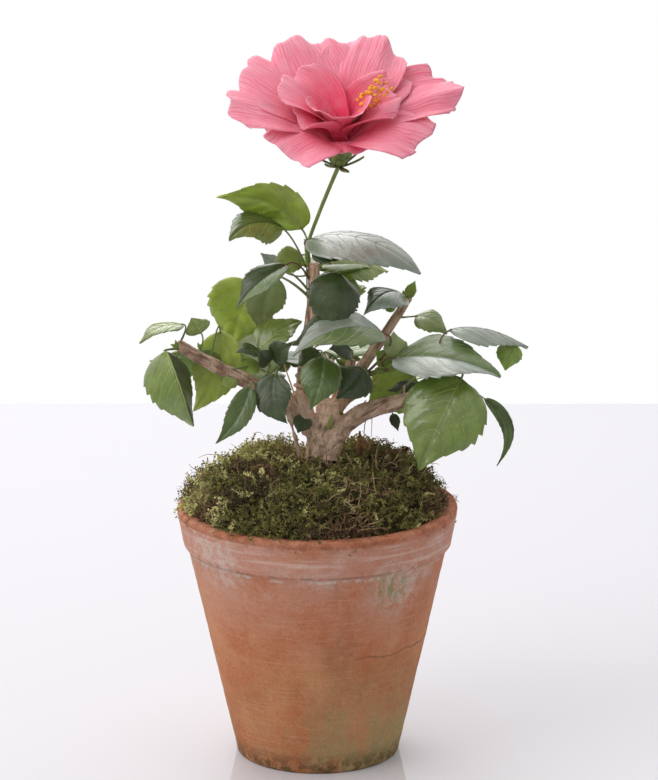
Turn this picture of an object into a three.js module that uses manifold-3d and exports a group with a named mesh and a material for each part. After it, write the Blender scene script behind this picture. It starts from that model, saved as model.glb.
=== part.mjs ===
// A hibiscus shrub in a hand-thrown clay pot: one open plant with a short woody trunk, a few
// pruned boughs, large separate leaves and one wide bloom on a long stalk.
// Millimetres, +Z up. The origin is the middle of the pot's flat underside. +X is to the right
// of the plant's front and -Y is towards its front.
// Every limb grows from a limb before it, by its directions and its length. Every mass of leaves
// grows from a limb too: first a thin stalk, then a flat, uneven pad of the leaves' own outline.

import * as THREE from 'three';
import * as BufferGeometryUtils from 'three/addons/utils/BufferGeometryUtils.js';
import Module from 'manifold-3d';

const wasm = await Module();
wasm.setup();

// ---------------------------------------------------------------- driving dimensions

const GAP = 0.3; // left between neighbours that touch
const POT_HEIGHT = 147;
const POT_FOOT_RADIUS = 47;
const POT_WALL_TOP_RADIUS = 74; // the straight wall, where it meets the collar
const POT_RIM_RADIUS = 80;
const COLLAR_HEIGHT = 22.5;
const COLLAR_STEP = 2.5; // the collar's lower edge stands this far out from the wall
const WALL = 7;
const FLOOR = 9;
const LIP_WIDTH = 8.5;
const LIP_ROUND = 2.6;
const FOOT_CHAMFER = 1.2;
const FLOOR_CORNER = { run: 3, rise: 4 }; // where the wall meets the floor inside
const DRAIN = { count: 3, radius: 4.5, circle: 22, sides: 10 };
const POT_SIDES = 32; // the soil and the moss have half as many, so that they nest inside it
const SOIL_TOP = 131;
const SOIL_EDGE = 1; // the soil's surface is bevelled by this at the wall
const MOSS_RISE = 31; // height of the mound's crown over the pot's rim
const MOSS_SINK = 1.5; // its edge lies this far under the rim
const MOSS_RINGS = [1, 0.9, 0.74, 0.52, 0.27];

const TRUNK = {
  azimuth: [20], rise: [90, 86], length: 62, radius: [9.6, 8.2], flare: 2.6, flareHeight: 14,
};
const BARK_BUMP = 0.05; // share of a limb's radius
const LIMB_SIDES = 7;
const LIMB_RING_SPACING = 13;
const LIMB_STEPS = 12; // straight steps that a limb's axis is grown in

const STALK_RADIUS = 1.3;
const PAD_THICKNESS = 6;
const PAD_GAP = 0.5; // wider than GAP, because a pad's slanted faces grow by less
const PAD_SIDES = 8;
const PAD_RINGS = 8; // from the stalk's foot to the pad's tip, the stalk's own rings among them
const STALK_RINGS = 2;
const MASS_STEPS = 60; // places along a mass at which its frame is worked out
const MASS_BUMP = 0.08; // share of a mass's width and thickness

const CALYX = { length: 10, radius: 6.2, foot: 2.1, sides: 12 };
const BLOOM = {
  reach: 71.5, // from the middle to a petal's end
  lift: 33, // angle of the petals over the bloom's plane
  lean: 26, // angle of the bloom's axis towards the front
  petals: 6,
  lobe: 0.09, // share of the reach by which the petals stand out
  ruffle: 3,
  droop: { front: 12, back: 4 },
  throat: 5.2,
  thickness: 4,
  heart: 8, // how much thicker it is in the middle
  sides: 20,
};

// Each limb starts on its parent's axis, `at` a share of the parent's length, and steps out from
// there by `out` of the parent's radius. Azimuth 0 is +X and 90 is +Y; rise is the angle above
// level. Both change evenly along the limb from the first value to the last.
const LIMBS = [
  { name: 'leader', on: 'trunk', at: 0.93, out: -0.8, azimuth: [10], rise: [106, 85, 80, 95],
    length: 99, radius: [4.4, 3.6] },
  { name: 'bough_left', on: 'trunk', at: 0.93, out: 0.5, azimuth: [-164, -170], rise: [54, 27, 34],
    length: 97, radius: [5.2, 3.4] },
  { name: 'bough_right_low', on: 'trunk', at: 0.7, out: 0.7, azimuth: [-28, -9],
    rise: [84, 42, 14, 20], length: 75, radius: [6.2, 4.4] },
  { name: 'bough_right_up', on: 'trunk', at: 0.95, out: 0.6, azimuth: [30, -2], rise: [64, 53, 59],
    length: 89, radius: [4.6, 2.4] },
  { name: 'bough_back', on: 'trunk', at: 0.92, out: 0.5, azimuth: [88, 80], rise: [36, 24],
    length: 58, radius: [4.4, 2.6] },
  { name: 'bough_back_right', on: 'trunk', at: 0.95, out: 0.5, azimuth: [60, 50], rise: [35, 5],
    length: 54, radius: [4.2, 2.6] },
  { name: 'bough_back_left', on: 'trunk', at: 0.9, out: 0.5, azimuth: [125, 112], rise: [30, 12],
    length: 48, radius: [4.2, 2.6] },
  { name: 'stump_front', on: 'trunk', at: 0.87, out: 0.4, azimuth: [-63, -48], rise: [68, 78],
    length: 25, radius: [7, 7] },
  { name: 'stump_left', on: 'trunk', at: 0.95, out: 0.6, azimuth: [-123, -167], rise: [59, 63],
    length: 29, radius: [4.2, 3.8] },
  { name: 'stump_right', on: 'trunk', at: 0.95, out: 0.6, azimuth: [-9, -10], rise: [76, 72],
    length: 44, radius: [4.5, 3.6] },
  { name: 'shoot_left', on: 'trunk', at: 0.38, out: 1, azimuth: [200, 150], rise: [90, 52],
    length: 80, radius: [2.6, 2] },
  { name: 'shoot_right', on: 'bough_right_up', at: 0.36, out: 0.5, azimuth: [-33, -29],
    rise: [30, -15], length: 70, radius: [1.9, 1.3], green: true },
  { name: 'top_shoot', on: 'leader', at: 0.86, out: 0.8, azimuth: [180], rise: [90, 84],
    length: 24, radius: [2, 1.7], green: true },
  { name: 'flower_stalk', on: 'top_shoot', at: 1, out: 0, azimuth: [-2, -28], rise: [71, 65],
    length: 51, radius: [1.3, 1.6], green: true },
];

// Each mass of leaves: the stalk's and the pad's direction and length as [azimuth, rise, length],
// the pad's width, the way its upper side faces as [azimuth, rise], how far its middle arches
// towards that side, and how far it sweeps sideways.
const MASSES = [
  { name: 'top_left_up', on: 'top_shoot', at: 0.6, stalk: [120, 80, 16], pad: [-166, 21, 55],
    width: 34, faces: [-115, -15], sweep: -8 },
  { name: 'top_left_low', on: 'top_shoot', at: 0.3, stalk: [-140, 60, 34], pad: [-143, -2, 36],
    width: 28, faces: [-100, 50], arch: 3, sweep: -5 },
  { name: 'top_right', on: 'top_shoot', at: 0.8, stalk: [-86, 54, 14], pad: [-21, -12.5, 69],
    width: 44, faces: [-80, 78], arch: 9 },
  { name: 'top_right_low', on: 'top_shoot', at: 0.3, stalk: [40, 20, 15], pad: [27, -14, 40],
    width: 30, faces: [-90, 62], arch: 3 },
  { name: 'top_front', on: 'top_shoot', at: 0.1, stalk: [-60, 30, 25], pad: [-131, -60, 43],
    width: 37, faces: [-78, 15], sweep: 8 },
  { name: 'upper_left', on: 'leader', at: 0.9, stalk: [-140, 28, 24], pad: [-151, -34, 40],
    width: 28, faces: [-140, 42], arch: 6 },
  { name: 'upper_left_back', on: 'leader', at: 0.84, stalk: [160, 14, 22], pad: [128, -70, 37],
    width: 20, faces: [-90, 10], sweep: -3 },
  { name: 'upper_left_far', on: 'leader', at: 0.8, stalk: [149, 7, 40], pad: [151, -68, 43],
    width: 38, faces: [-90, 25], sweep: -3 },
  { name: 'left_tip', on: 'bough_left', at: 0.98, stalk: [75, 80, 11], pad: [-154, -15, 28],
    width: 22, faces: [-100, 86], arch: 4 },
  { name: 'left_top', on: 'bough_left', at: 0.85, stalk: [85, 80, 13], pad: [145, 48, 11],
    width: 14, faces: [-60, 20] },
  { name: 'left_hanging', on: 'bough_left', at: 0.96, stalk: [-131, -4, 14], pad: [-40, -62, 46],
    width: 40, faces: [-115, 10], sweep: -7 },
  { name: 'left_back', on: 'bough_left', at: 0.78, stalk: [74, 38, 21], pad: [-158, -70, 47],
    width: 28, faces: [-90, 20], sweep: 5 },
  { name: 'left_under', on: 'bough_left', at: 0.35, stalk: [-132, 20, 22], pad: [-139, -49, 37],
    width: 17, faces: [-90, 20] },
  { name: 'left_inner', on: 'shoot_left', at: 0.9, stalk: [-165, 30, 7], pad: [-136, 12, 22],
    width: 20, faces: [-90, 60], arch: 3 },
  { name: 'left_mid', on: 'shoot_left', at: 0.95, stalk: [146, 67, 11], pad: [25, 26, 31],
    width: 30, faces: [-120, 45], arch: 4 },
  { name: 'front_left', on: 'shoot_left', at: 0.62, stalk: [-124, 51, 25], pad: [-48, -48, 28],
    width: 26, faces: [-105, 15], sweep: -3 },
  { name: 'front_centre', on: 'shoot_right', at: 0.08, stalk: [-66, 41, 38], pad: [-152, -4, 56],
    width: 44, faces: [-85, 78], arch: 9 },
  { name: 'front_low', on: 'stump_right', at: 0.88, stalk: [-131, 25, 27], pad: [-110, -62, 32],
    width: 26, faces: [-90, 15] },
  { name: 'front_right', on: 'shoot_right', at: 0.14, stalk: [-105, 22, 14], pad: [-138, -26, 27],
    width: 30, faces: [-70, 25], sweep: 3 },
  { name: 'right_upper', on: 'bough_right_up', at: 0.97, stalk: [-113, 37, 7], pad: [-139, -12, 31],
    width: 30, faces: [-95, 68], arch: 7 },
  { name: 'right_tip', on: 'bough_right_up', at: 0.84, stalk: [-21, 8, 12], pad: [-20, -28, 20],
    width: 20, faces: [-70, 60], arch: 4 },
  { name: 'right_mid', on: 'shoot_right', at: 0.24, stalk: [-60, 36, 20], pad: [-20, -6, 63],
    width: 46, faces: [-85, 72], arch: 8 },
  { name: 'right_inner', on: 'shoot_right', at: 0.18, stalk: [-46, 36, 20], pad: [100, 66, 15],
    width: 14, faces: [-60, 10] },
  { name: 'right_far', on: 'shoot_right', at: 0.9, stalk: [95, 60, 25], pad: [10, -14, 48],
    width: 28, faces: [-90, 88], arch: 3 },
  { name: 'right_hanging', on: 'bough_right_low', at: 0.98, stalk: [-27, 33, 30],
    pad: [-141, -57, 58], width: 46, faces: [-75, 15] },
  { name: 'right_low_far', on: 'bough_right_low', at: 0.94, stalk: [5, 6, 35], pad: [-40, -72, 40],
    width: 18, faces: [-60, 20], sweep: 10 },
  { name: 'right_under', on: 'bough_right_low', at: 0.7, stalk: [56, 29, 34], pad: [172, -36, 35],
    width: 34, faces: [-90, 15] },
  { name: 'back_top', on: 'top_shoot', at: 0.4, stalk: [76, 10, 24], pad: [46, -13, 48],
    width: 34, faces: [-90, 88], arch: 4 },
  { name: 'back_upper', on: 'leader', at: 0.7, stalk: [66, 5, 30], pad: [75, 3, 33],
    width: 34, faces: [90, 60], arch: 2 },
  { name: 'back_centre', on: 'bough_back', at: 0.95, stalk: [40, 40, 8], pad: [56, -4, 34],
    width: 38, faces: [90, 75], arch: 3 },
  { name: 'back_mid', on: 'bough_back', at: 0.85, stalk: [150, 45, 10], pad: [115, -7, 36],
    width: 32, faces: [110, 70], arch: 3 },
  { name: 'back_right', on: 'bough_back_right', at: 0.98, stalk: [10, 10, 14], pad: [25, -10, 44],
    width: 36, faces: [60, 80], arch: 4 },
  { name: 'back_right_low', on: 'bough_back_right', at: 0.7, stalk: [20, 10, 18],
    pad: [40, -40, 36], width: 30, faces: [50, 45] },
  { name: 'back_right_far', on: 'bough_back_right', at: 0.85, stalk: [5, 12, 34],
    pad: [15, -35, 40], width: 34, faces: [40, 50], arch: 3 },
  { name: 'back_left_up', on: 'bough_back_left', at: 0.98, stalk: [150, 68, 34],
    pad: [125, 12, 40], width: 34, faces: [120, 75], arch: 3 },
  { name: 'back_left', on: 'bough_back_left', at: 0.98, stalk: [140, 30, 6], pad: [125, 2, 36],
    width: 34, faces: [120, 70], arch: 3 },
  { name: 'back_left_far', on: 'bough_left', at: 0.94, stalk: [110, -5, 12], pad: [96, -48, 42],
    width: 32, faces: [100, 40], arch: 3 },
  { name: 'back_low', on: 'bough_back_left', at: 0.7, stalk: [95, -20, 12], pad: [115, -30, 30],
    width: 28, faces: [120, 60] },
];

// ---------------------------------------------------------------- solids and small helpers

/** A closed geometry with its shared vertices merged, as a solid. */
function solidOf(geometry) {
  const bare = geometry.clone();
  bare.deleteAttribute('normal');
  bare.deleteAttribute('uv');
  const merged = BufferGeometryUtils.mergeVertices(bare, 1e-4);
  const corners = merged.index.array;
  const triangles = [];
  for (let i = 0; i < corners.length; i += 3) {
    const [a, b, c] = corners.subarray(i, i + 3);
    if (a !== b && b !== c && c !== a) triangles.push(a, b, c);
  }
  return new wasm.Manifold(new wasm.Mesh({
    numProp: 3,
    vertProperties: new Float32Array(merged.attributes.position.array),
    triVerts: new Uint32Array(triangles),
  }));
}

/** The triangles of a solid, as a geometry. */
function geometryOf(solid) {
  const mesh = solid.getMesh();
  const geometry = new THREE.BufferGeometry();
  geometry.setAttribute('position', new THREE.BufferAttribute(mesh.vertProperties, 3));
  geometry.setIndex(new THREE.BufferAttribute(mesh.triVerts, 1));
  geometry.computeVertexNormals();
  return geometry;
}

/** What is left of a solid when its loose crumbs are dropped. */
function largest(solid) {
  const pieces = solid.decompose();
  return pieces.reduce((best, piece) => (piece.volume() > best.volume() ? piece : best));
}

function direction(azimuth, rise) {
  const a = THREE.MathUtils.degToRad(azimuth);
  const r = THREE.MathUtils.degToRad(rise);
  return new THREE.Vector3(Math.cos(r) * Math.cos(a), Math.cos(r) * Math.sin(a), Math.sin(r));
}

/** The value at a share t along an evenly spaced list. */
function along(values, t) {
  if (values.length === 1) return values[0];
  const place = Math.min(t, 0.999999) * (values.length - 1);
  const first = Math.floor(place);
  return THREE.MathUtils.lerp(values[first], values[first + 1], place - first);
}

/** A smooth, repeatable unevenness between -1 and 1. */
function uneven(seed, angle, share) {
  return 0.6 * Math.sin(seed * 2.4 + angle * 2 + share * 5) +
    0.4 * Math.sin(seed * 4.1 - angle * 3 + share * 9);
}

/** A vector with its part along a unit axis taken out, at unit length. */
function squareTo(vector, axis) {
  return vector.clone().addScaledVector(axis, -vector.dot(axis)).normalize();
}

/** A path's point and its two square directions at a share t, carried along without twist. */
function framesAlong(path, firstSide, steps) {
  const frames = [];
  let side = firstSide;
  for (let i = 0; i <= steps; i += 1) {
    const point = path.getPoint(i / steps);
    const tangent = path.getTangent(i / steps);
    side = squareTo(side, tangent);
    frames.push({ point, tangent, side, face: tangent.clone().cross(side) });
  }
  return frames;
}

// ---------------------------------------------------------------- limbs

/** The stations of a limb's axis, stepped from its start along its changing direction. */
function growPath(limb, start) {
  const points = [start.clone()];
  for (let i = 0; i < LIMB_STEPS; i += 1) {
    const t = (i + 0.5) / LIMB_STEPS;
    const step = direction(along(limb.azimuth, t), along(limb.rise, t));
    points.push(points[i].clone().addScaledVector(step, limb.length / LIMB_STEPS));
  }
  return new THREE.CatmullRomCurve3(points);
}

/** A tapering limb: a cylinder bent along its path, grown outwards by `grow` all round. */
function limbSolid(limb, grow = 0) {
  const rings = Math.max(4, Math.round(limb.length / LIMB_RING_SPACING));
  const frames = framesAlong(limb.path, new THREE.Vector3(0.3, 1, 0.1), rings);
  const geometry = new THREE.CylinderGeometry(1, 1, rings, LIMB_SIDES, rings);
  const position = geometry.attributes.position;
  const place = new THREE.Vector3();
  for (let i = 0; i < position.count; i += 1) {
    place.fromBufferAttribute(position, i);
    const ring = Math.round(place.y + rings / 2);
    const frame = frames[ring];
    const share = ring / rings;
    const angle = Math.atan2(place.z, place.x);
    const bump = 1 + BARK_BUMP * uneven(limb.length, angle, share);
    const flare = (limb.flare ?? 0) * Math.exp(-(share * limb.length) / (limb.flareHeight ?? 1));
    const size = (along(limb.radius, share) + flare) * bump + grow;
    const end = ring === 0 ? -grow : ring === rings ? grow : 0;
    const at = frame.point.clone().addScaledVector(frame.tangent, end)
      .addScaledVector(frame.side, place.x * size).addScaledVector(frame.face, place.z * size);
    position.setXYZ(i, at.x, at.y, at.z);
  }
  return upright(solidOf(geometry), geometry);
}

/** The solid, made again inside out if the bending turned its faces inwards. */
function upright(solid, geometry) {
  if (solid.volume() > 0) return solid;
  const corners = geometry.index.array;
  for (let i = 0; i < corners.length; i += 3) {
    [corners[i], corners[i + 1]] = [corners[i + 1], corners[i]];
  }
  return solidOf(geometry);
}

/** Where a child leaves its parent's axis. */
function leaving(parent, at, out, azimuth) {
  const radius = along(parent.radius, at);
  return parent.path.getPoint(at).addScaledVector(direction(azimuth, 0), out * radius);
}

// ---------------------------------------------------------------- masses of leaves

/** Half the pad's width at a share t of its length, as a share: a broad leaf with a short tip. */
function leafOutline(t) {
  return Math.pow(Math.sin(Math.PI * Math.pow(t, 0.72)), 0.7) * (1 - 0.25 * t ** 3);
}

/** The stalk and the pad's middle line, from the limb to the tip. */
function massPath(mass, start) {
  const arch = mass.arch ?? 0;
  const sweep = mass.sweep ?? 0;
  const [stalkAzimuth, stalkRise, stalkLength] = mass.stalk;
  const [padAzimuth, padRise, padLength] = mass.pad;
  const base = start.clone().addScaledVector(direction(stalkAzimuth, stalkRise), stalkLength);
  const axis = direction(padAzimuth, padRise);
  const face = squareTo(direction(...mass.faces), axis);
  const side = face.clone().cross(axis);
  const points = [start, start.clone().lerp(base, 0.55)];
  for (const t of [0, 0.25, 0.5, 0.75, 1]) {
    const bow = 4 * t * (1 - t);
    points.push(base.clone().addScaledVector(axis, padLength * t)
      .addScaledVector(face, arch * bow).addScaledVector(side, sweep * bow));
  }
  const path = new THREE.CatmullRomCurve3(points, false, 'centripetal');
  return { path, side };
}

/** Square directions along a mass, carried back from the pad down to its stalk. */
function massFrames(path, side, stalkShare) {
  const frames = [];
  let held = side;
  for (let i = MASS_STEPS; i >= 0; i -= 1) {
    const t = i / MASS_STEPS;
    const point = path.getPointAt(t);
    const tangent = path.getTangentAt(t);
    held = squareTo(t > stalkShare ? side : held, tangent);
    frames[i] = { point, tangent, side: held, face: tangent.clone().cross(held) };
  }
  return frames;
}

/** One mass: a sphere drawn out along the stalk and the pad, flat and uneven. */
function massSolid(mass, grow = 0) {
  const rings = PAD_RINGS;
  const geometry = new THREE.SphereGeometry(1, PAD_SIDES, rings);
  const position = geometry.attributes.position;
  const place = new THREE.Vector3();
  for (let i = 0; i < position.count; i += 1) {
    place.fromBufferAttribute(position, i);
    const ring = Math.round((Math.acos(THREE.MathUtils.clamp(place.y, -1, 1)) / Math.PI) * rings);
    const pad = (ring - STALK_RINGS) / (rings - STALK_RINGS);
    const share = pad < 0 ? mass.stalkShare * (ring / STALK_RINGS)
      : mass.stalkShare + (1 - mass.stalkShare) * pad;
    const frame = mass.frames[Math.round(THREE.MathUtils.clamp(share, 0, 1) * MASS_STEPS)];
    const angle = Math.atan2(place.z, place.x);
    const outline = pad > 0 ? leafOutline(pad) : 0;
    const bump = 1 + MASS_BUMP * uneven(mass.seed, angle, share);
    const pole = ring === 0 || ring === rings;
    const half = (across) => (pole ? 0
      : THREE.MathUtils.lerp(STALK_RADIUS, across / 2, outline) * bump + grow);
    const end = ring === 0 ? -grow : ring === rings ? grow : 0;
    const at = frame.point.clone().addScaledVector(frame.tangent, end)
      .addScaledVector(frame.side, Math.cos(angle) * half(mass.width))
      .addScaledVector(frame.face, Math.sin(angle) * half(PAD_THICKNESS));
    position.setXYZ(i, at.x, at.y, at.z);
  }
  return upright(solidOf(geometry), geometry);
}

// ---------------------------------------------------------------- pot, soil and moss

/** The pot's inner radius at a height over the floor. */
function innerRadius(z) {
  const slope = (POT_WALL_TOP_RADIUS - POT_FOOT_RADIUS) / (POT_HEIGHT - COLLAR_HEIGHT);
  return POT_FOOT_RADIUS + slope * z - WALL;
}

/** A turned shape about +Z from its profile of [radius, height] pairs. */
function turned(profile, segments) {
  const points = profile.map(([radius, height]) => new THREE.Vector2(radius, height));
  return new THREE.LatheGeometry(points, segments).rotateX(Math.PI / 2);
}

function potSolid() {
  const collarFoot = POT_HEIGHT - COLLAR_HEIGHT;
  const collarFootRadius = POT_WALL_TOP_RADIUS + COLLAR_STEP;
  const lipInner = POT_RIM_RADIUS - LIP_WIDTH;
  const profile = [
    [0, 0],
    [POT_FOOT_RADIUS - FOOT_CHAMFER, 0],
    [POT_FOOT_RADIUS, FOOT_CHAMFER],
    [POT_WALL_TOP_RADIUS, collarFoot - COLLAR_STEP],
    [collarFootRadius - FOOT_CHAMFER / 2, collarFoot - FOOT_CHAMFER / 2],
    [collarFootRadius, collarFoot + FOOT_CHAMFER],
    [POT_RIM_RADIUS, POT_HEIGHT - LIP_ROUND],
    [POT_RIM_RADIUS - LIP_ROUND * 0.3, POT_HEIGHT - LIP_ROUND * 0.3],
    [POT_RIM_RADIUS - LIP_ROUND, POT_HEIGHT],
    [lipInner + LIP_ROUND, POT_HEIGHT],
    [lipInner, POT_HEIGHT - LIP_ROUND],
    [innerRadius(collarFoot), collarFoot],
    [innerRadius(FLOOR + FLOOR_CORNER.rise), FLOOR + FLOOR_CORNER.rise],
    [innerRadius(FLOOR) - FLOOR_CORNER.run, FLOOR],
    [0, FLOOR],
  ];
  let pot = solidOf(turned(profile, POT_SIDES));
  for (let i = 0; i < DRAIN.count; i += 1) {
    const angle = ((i + 0.5) / DRAIN.count) * 2 * Math.PI;
    const hole = new THREE.CylinderGeometry(DRAIN.radius, DRAIN.radius, FLOOR * 2, DRAIN.sides)
      .rotateX(Math.PI / 2)
      .translate(DRAIN.circle * Math.cos(angle), DRAIN.circle * Math.sin(angle), FLOOR / 2);
    pot = pot.subtract(solidOf(hole));
  }
  return pot;
}

function soilSolid() {
  const bottom = FLOOR + GAP;
  const cornerTop = FLOOR + FLOOR_CORNER.rise;
  const shoulder = SOIL_TOP - SOIL_EDGE;
  return solidOf(turned([
    [0, bottom],
    [innerRadius(FLOOR) - FLOOR_CORNER.run - GAP, bottom],
    [innerRadius(cornerTop) - GAP, cornerTop],
    [innerRadius(shoulder) - GAP, shoulder],
    [innerRadius(shoulder) - SOIL_EDGE, SOIL_TOP],
    [0, SOIL_TOP],
  ], POT_SIDES / 2));
}

/** Height of the moss over the rim at a place on the mound, highest behind and left. */
function mossHeight(share, angle) {
  const mound = Math.pow(1 - Math.pow(share, 3.6), 0.55);
  const hollow = 0.12 * Math.exp(-((share / 0.3) ** 2));
  const humps = 0.1 * Math.sin(angle + 0.5) + 0.07 * Math.sin(3 * angle + 1.1);
  const ripple = 0.05 * Math.sin(5 * angle - 2) * Math.sin(Math.PI * share * 2);
  return MOSS_RISE * mound * (0.9 - hollow + humps * Math.sin(Math.PI * share) + ripple);
}

/** The moss: a plug that fills the pot's mouth down to the soil, under an uneven mound. */
function mossSolid() {
  const edge = POT_RIM_RADIUS - LIP_WIDTH - 2 * GAP;
  const foot = SOIL_TOP + GAP;
  const profile = [[0, foot], [innerRadius(foot) - GAP, foot], [edge, POT_HEIGHT - 2 * MOSS_SINK]];
  for (const ring of MOSS_RINGS) profile.push([edge * ring, POT_HEIGHT]);
  profile.push([0, POT_HEIGHT]);
  const geometry = turned(profile, POT_SIDES / 2);
  const position = geometry.attributes.position;
  for (let i = 0; i < position.count; i += 1) {
    const [x, y, z] = [position.getX(i), position.getY(i), position.getZ(i)];
    const share = Math.min(Math.hypot(x, y) / edge, 1);
    const angle = share < 0.001 ? 0 : Math.atan2(y, x);
    if (z > POT_HEIGHT - GAP) position.setZ(i, POT_HEIGHT - MOSS_SINK + mossHeight(share, angle));
  }
  return solidOf(geometry);
}

// ---------------------------------------------------------------- calyx and bloom

/** A shape made round +Z, set on its foot and leant towards the plant's front. */
function leant(geometry, foot) {
  return geometry.rotateX(THREE.MathUtils.degToRad(BLOOM.lean)).translate(foot.x, foot.y, foot.z);
}

function calyxSolid(foot) {
  const { length, radius } = CALYX;
  const profile = [
    [0, 0],
    [CALYX.foot, 0],
    [radius * 0.72, length * 0.3],
    [radius, length * 0.75],
    [radius, length],
    [0, length],
  ];
  return solidOf(leant(turned(profile, CALYX.sides), foot));
}

/** The bloom: a wide, shallow cup whose rim is drawn out into petals, ruffled and drooping. */
function bloomSolid(foot) {
  const slope = Math.tan(THREE.MathUtils.degToRad(BLOOM.lift));
  const spread = BLOOM.reach * Math.cos(THREE.MathUtils.degToRad(BLOOM.lift));
  const cup = (share) => spread * share * slope * (1.12 - 0.12 * share ** 2);
  const under = (share) => cup(share) - BLOOM.thickness / 2;
  const over = (share) => cup(share) + BLOOM.thickness / 2 + BLOOM.heart * (1 - share);
  const profile = [[0, 0], [BLOOM.throat, 0.5]];
  for (const share of [0.25, 0.5, 0.75, 0.92]) profile.push([spread * share, under(share)]);
  profile.push([spread, cup(1)]);
  for (const share of [0.92, 0.75, 0.5, 0.25]) profile.push([spread * share, over(share)]);
  profile.push([0, over(0.25)]);
  const geometry = turned(profile, BLOOM.sides);
  const position = geometry.attributes.position;
  for (let i = 0; i < position.count; i += 1) {
    const [x, y] = [position.getX(i), position.getY(i)];
    const share = Math.min(Math.hypot(x, y) / spread, 1);
    const angle = share < 0.001 ? 0 : Math.atan2(y, x);
    const lobes = BLOOM.lobe * Math.cos(BLOOM.petals * angle) + 0.03 * Math.cos(angle) - 0.05;
    const lobe = 1 + share ** 2 * lobes;
    const droop = (y < 0 ? BLOOM.droop.front : BLOOM.droop.back) * Math.abs(y / spread);
    const rise = share ** 2 * (BLOOM.ruffle * uneven(3, angle, share) - droop);
    position.setXYZ(i, x * lobe, y * lobe, position.getZ(i) + rise);
  }
  return solidOf(leant(geometry, foot));
}

// ---------------------------------------------------------------- assembly

const group = new THREE.Group();

const FINISHES = {
  clay: { color: 0xb8734f, roughness: 0.85 },
  earth: { color: 0x3a2a1e, roughness: 1 },
  moss: { color: 0x6f7a3a, roughness: 1 },
  bark: { color: 0xa88672, roughness: 0.9 },
  shoot: { color: 0x6f8a45, roughness: 0.6 },
  leaf: { color: 0x4f7a35, roughness: 0.4 },
  petal: { color: 0xf08ca0, roughness: 0.6 },
};

function add(name, solid, finish) {
  const material = new THREE.MeshStandardMaterial({ metalness: 0, ...FINISHES[finish] });
  const mesh = new THREE.Mesh(geometryOf(solid), material);
  mesh.name = name;
  group.add(mesh);
}

/** A solid with every grown neighbour before it cut away, so that the two only touch. */
function seated(solid, neighbours) {
  let cut = solid;
  for (const neighbour of neighbours) cut = cut.subtract(neighbour);
  return largest(cut);
}

const trunk = { name: 'trunk', ...TRUNK };
trunk.path = growPath(trunk, new THREE.Vector3(0, 0, SOIL_TOP + GAP));

const limbs = new Map([['trunk', trunk]]);
const keepClear = [limbSolid(trunk, GAP)];
const wood = [{ limb: trunk, solid: limbSolid(trunk) }];
for (const limb of LIMBS) {
  const parent = limbs.get(limb.on);
  limb.path = growPath(limb, leaving(parent, limb.at, limb.out, limb.azimuth[0]));
  limbs.set(limb.name, limb);
  wood.push({ limb, solid: seated(limbSolid(limb), keepClear) });
  keepClear.push(limbSolid(limb, GAP));
}

add('pot', potSolid(), 'clay');
add('soil', soilSolid(), 'earth');
add('moss', seated(mossSolid(), keepClear), 'moss');
for (const { limb, solid } of wood) add(limb.name, solid, limb.green ? 'shoot' : 'bark');

const stalkEnd = limbs.get('flower_stalk').path.getPoint(1);
const calyxFoot = stalkEnd.clone().add(new THREE.Vector3(0, 0, 3 * GAP));
const bloomFoot = calyxFoot.clone().add(
  new THREE.Vector3(0, 0, CALYX.length + GAP)
    .applyAxisAngle(new THREE.Vector3(1, 0, 0), THREE.MathUtils.degToRad(BLOOM.lean)),
);
add('calyx', seated(calyxSolid(calyxFoot), keepClear), 'shoot');
add('bloom', bloomSolid(bloomFoot), 'petal');

MASSES.forEach((mass, index) => {
  const parent = limbs.get(mass.on);
  const { path, side } = massPath(mass, parent.path.getPoint(mass.at));
  mass.seed = index + 1;
  mass.stalkShare = mass.stalk[2] / path.getLength();
  mass.frames = massFrames(path, side, mass.stalkShare);
  add(`leaves_${mass.name}`, seated(massSolid(mass), keepClear), 'leaf');
  keepClear.push(massSolid(mass, PAD_GAP));
});

export default group;
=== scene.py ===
"""A hibiscus shrub in an old clay pot: the looks, laid out as an add-on for the 3D view's sidebar.

Every piece is built around the frame, which gives the places and sizes of the pot, the limbs and
the masses of leaves. Lengths are metres; MM turns millimetres into metres.
"""

import math

import bmesh
import bpy
import numpy as np
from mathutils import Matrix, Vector
from mathutils.bvhtree import BVHTree


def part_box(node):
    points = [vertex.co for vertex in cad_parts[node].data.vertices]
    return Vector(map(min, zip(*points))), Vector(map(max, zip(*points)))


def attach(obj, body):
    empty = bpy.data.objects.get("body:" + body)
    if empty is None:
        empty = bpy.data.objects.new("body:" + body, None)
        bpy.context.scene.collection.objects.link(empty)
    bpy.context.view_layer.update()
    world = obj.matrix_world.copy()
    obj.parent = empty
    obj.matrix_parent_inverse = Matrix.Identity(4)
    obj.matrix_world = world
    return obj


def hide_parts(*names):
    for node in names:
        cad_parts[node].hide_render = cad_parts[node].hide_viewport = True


bl_info = {
    "name": "Potted Hibiscus",
    "version": (1, 0, 0),
    "blender": (4, 5, 0),
    "location": "3D View > Sidebar > Hibiscus",
    "description": "Builds a hibiscus shrub in a clay pot: clay, moss, bark, leaves and bloom",
    "category": "Add Mesh",
}

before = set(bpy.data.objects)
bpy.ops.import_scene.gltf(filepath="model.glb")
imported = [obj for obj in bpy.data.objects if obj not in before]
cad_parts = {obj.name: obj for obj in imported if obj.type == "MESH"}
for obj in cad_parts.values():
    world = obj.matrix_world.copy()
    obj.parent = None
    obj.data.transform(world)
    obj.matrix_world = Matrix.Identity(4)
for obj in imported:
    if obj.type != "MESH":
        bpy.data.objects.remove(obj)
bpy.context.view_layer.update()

MM = 0.001
BODY = "root"
UP = np.array([0.0, 0.0, 1.0])


# ------------------------------------------------------------------ numbers and directions


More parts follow.
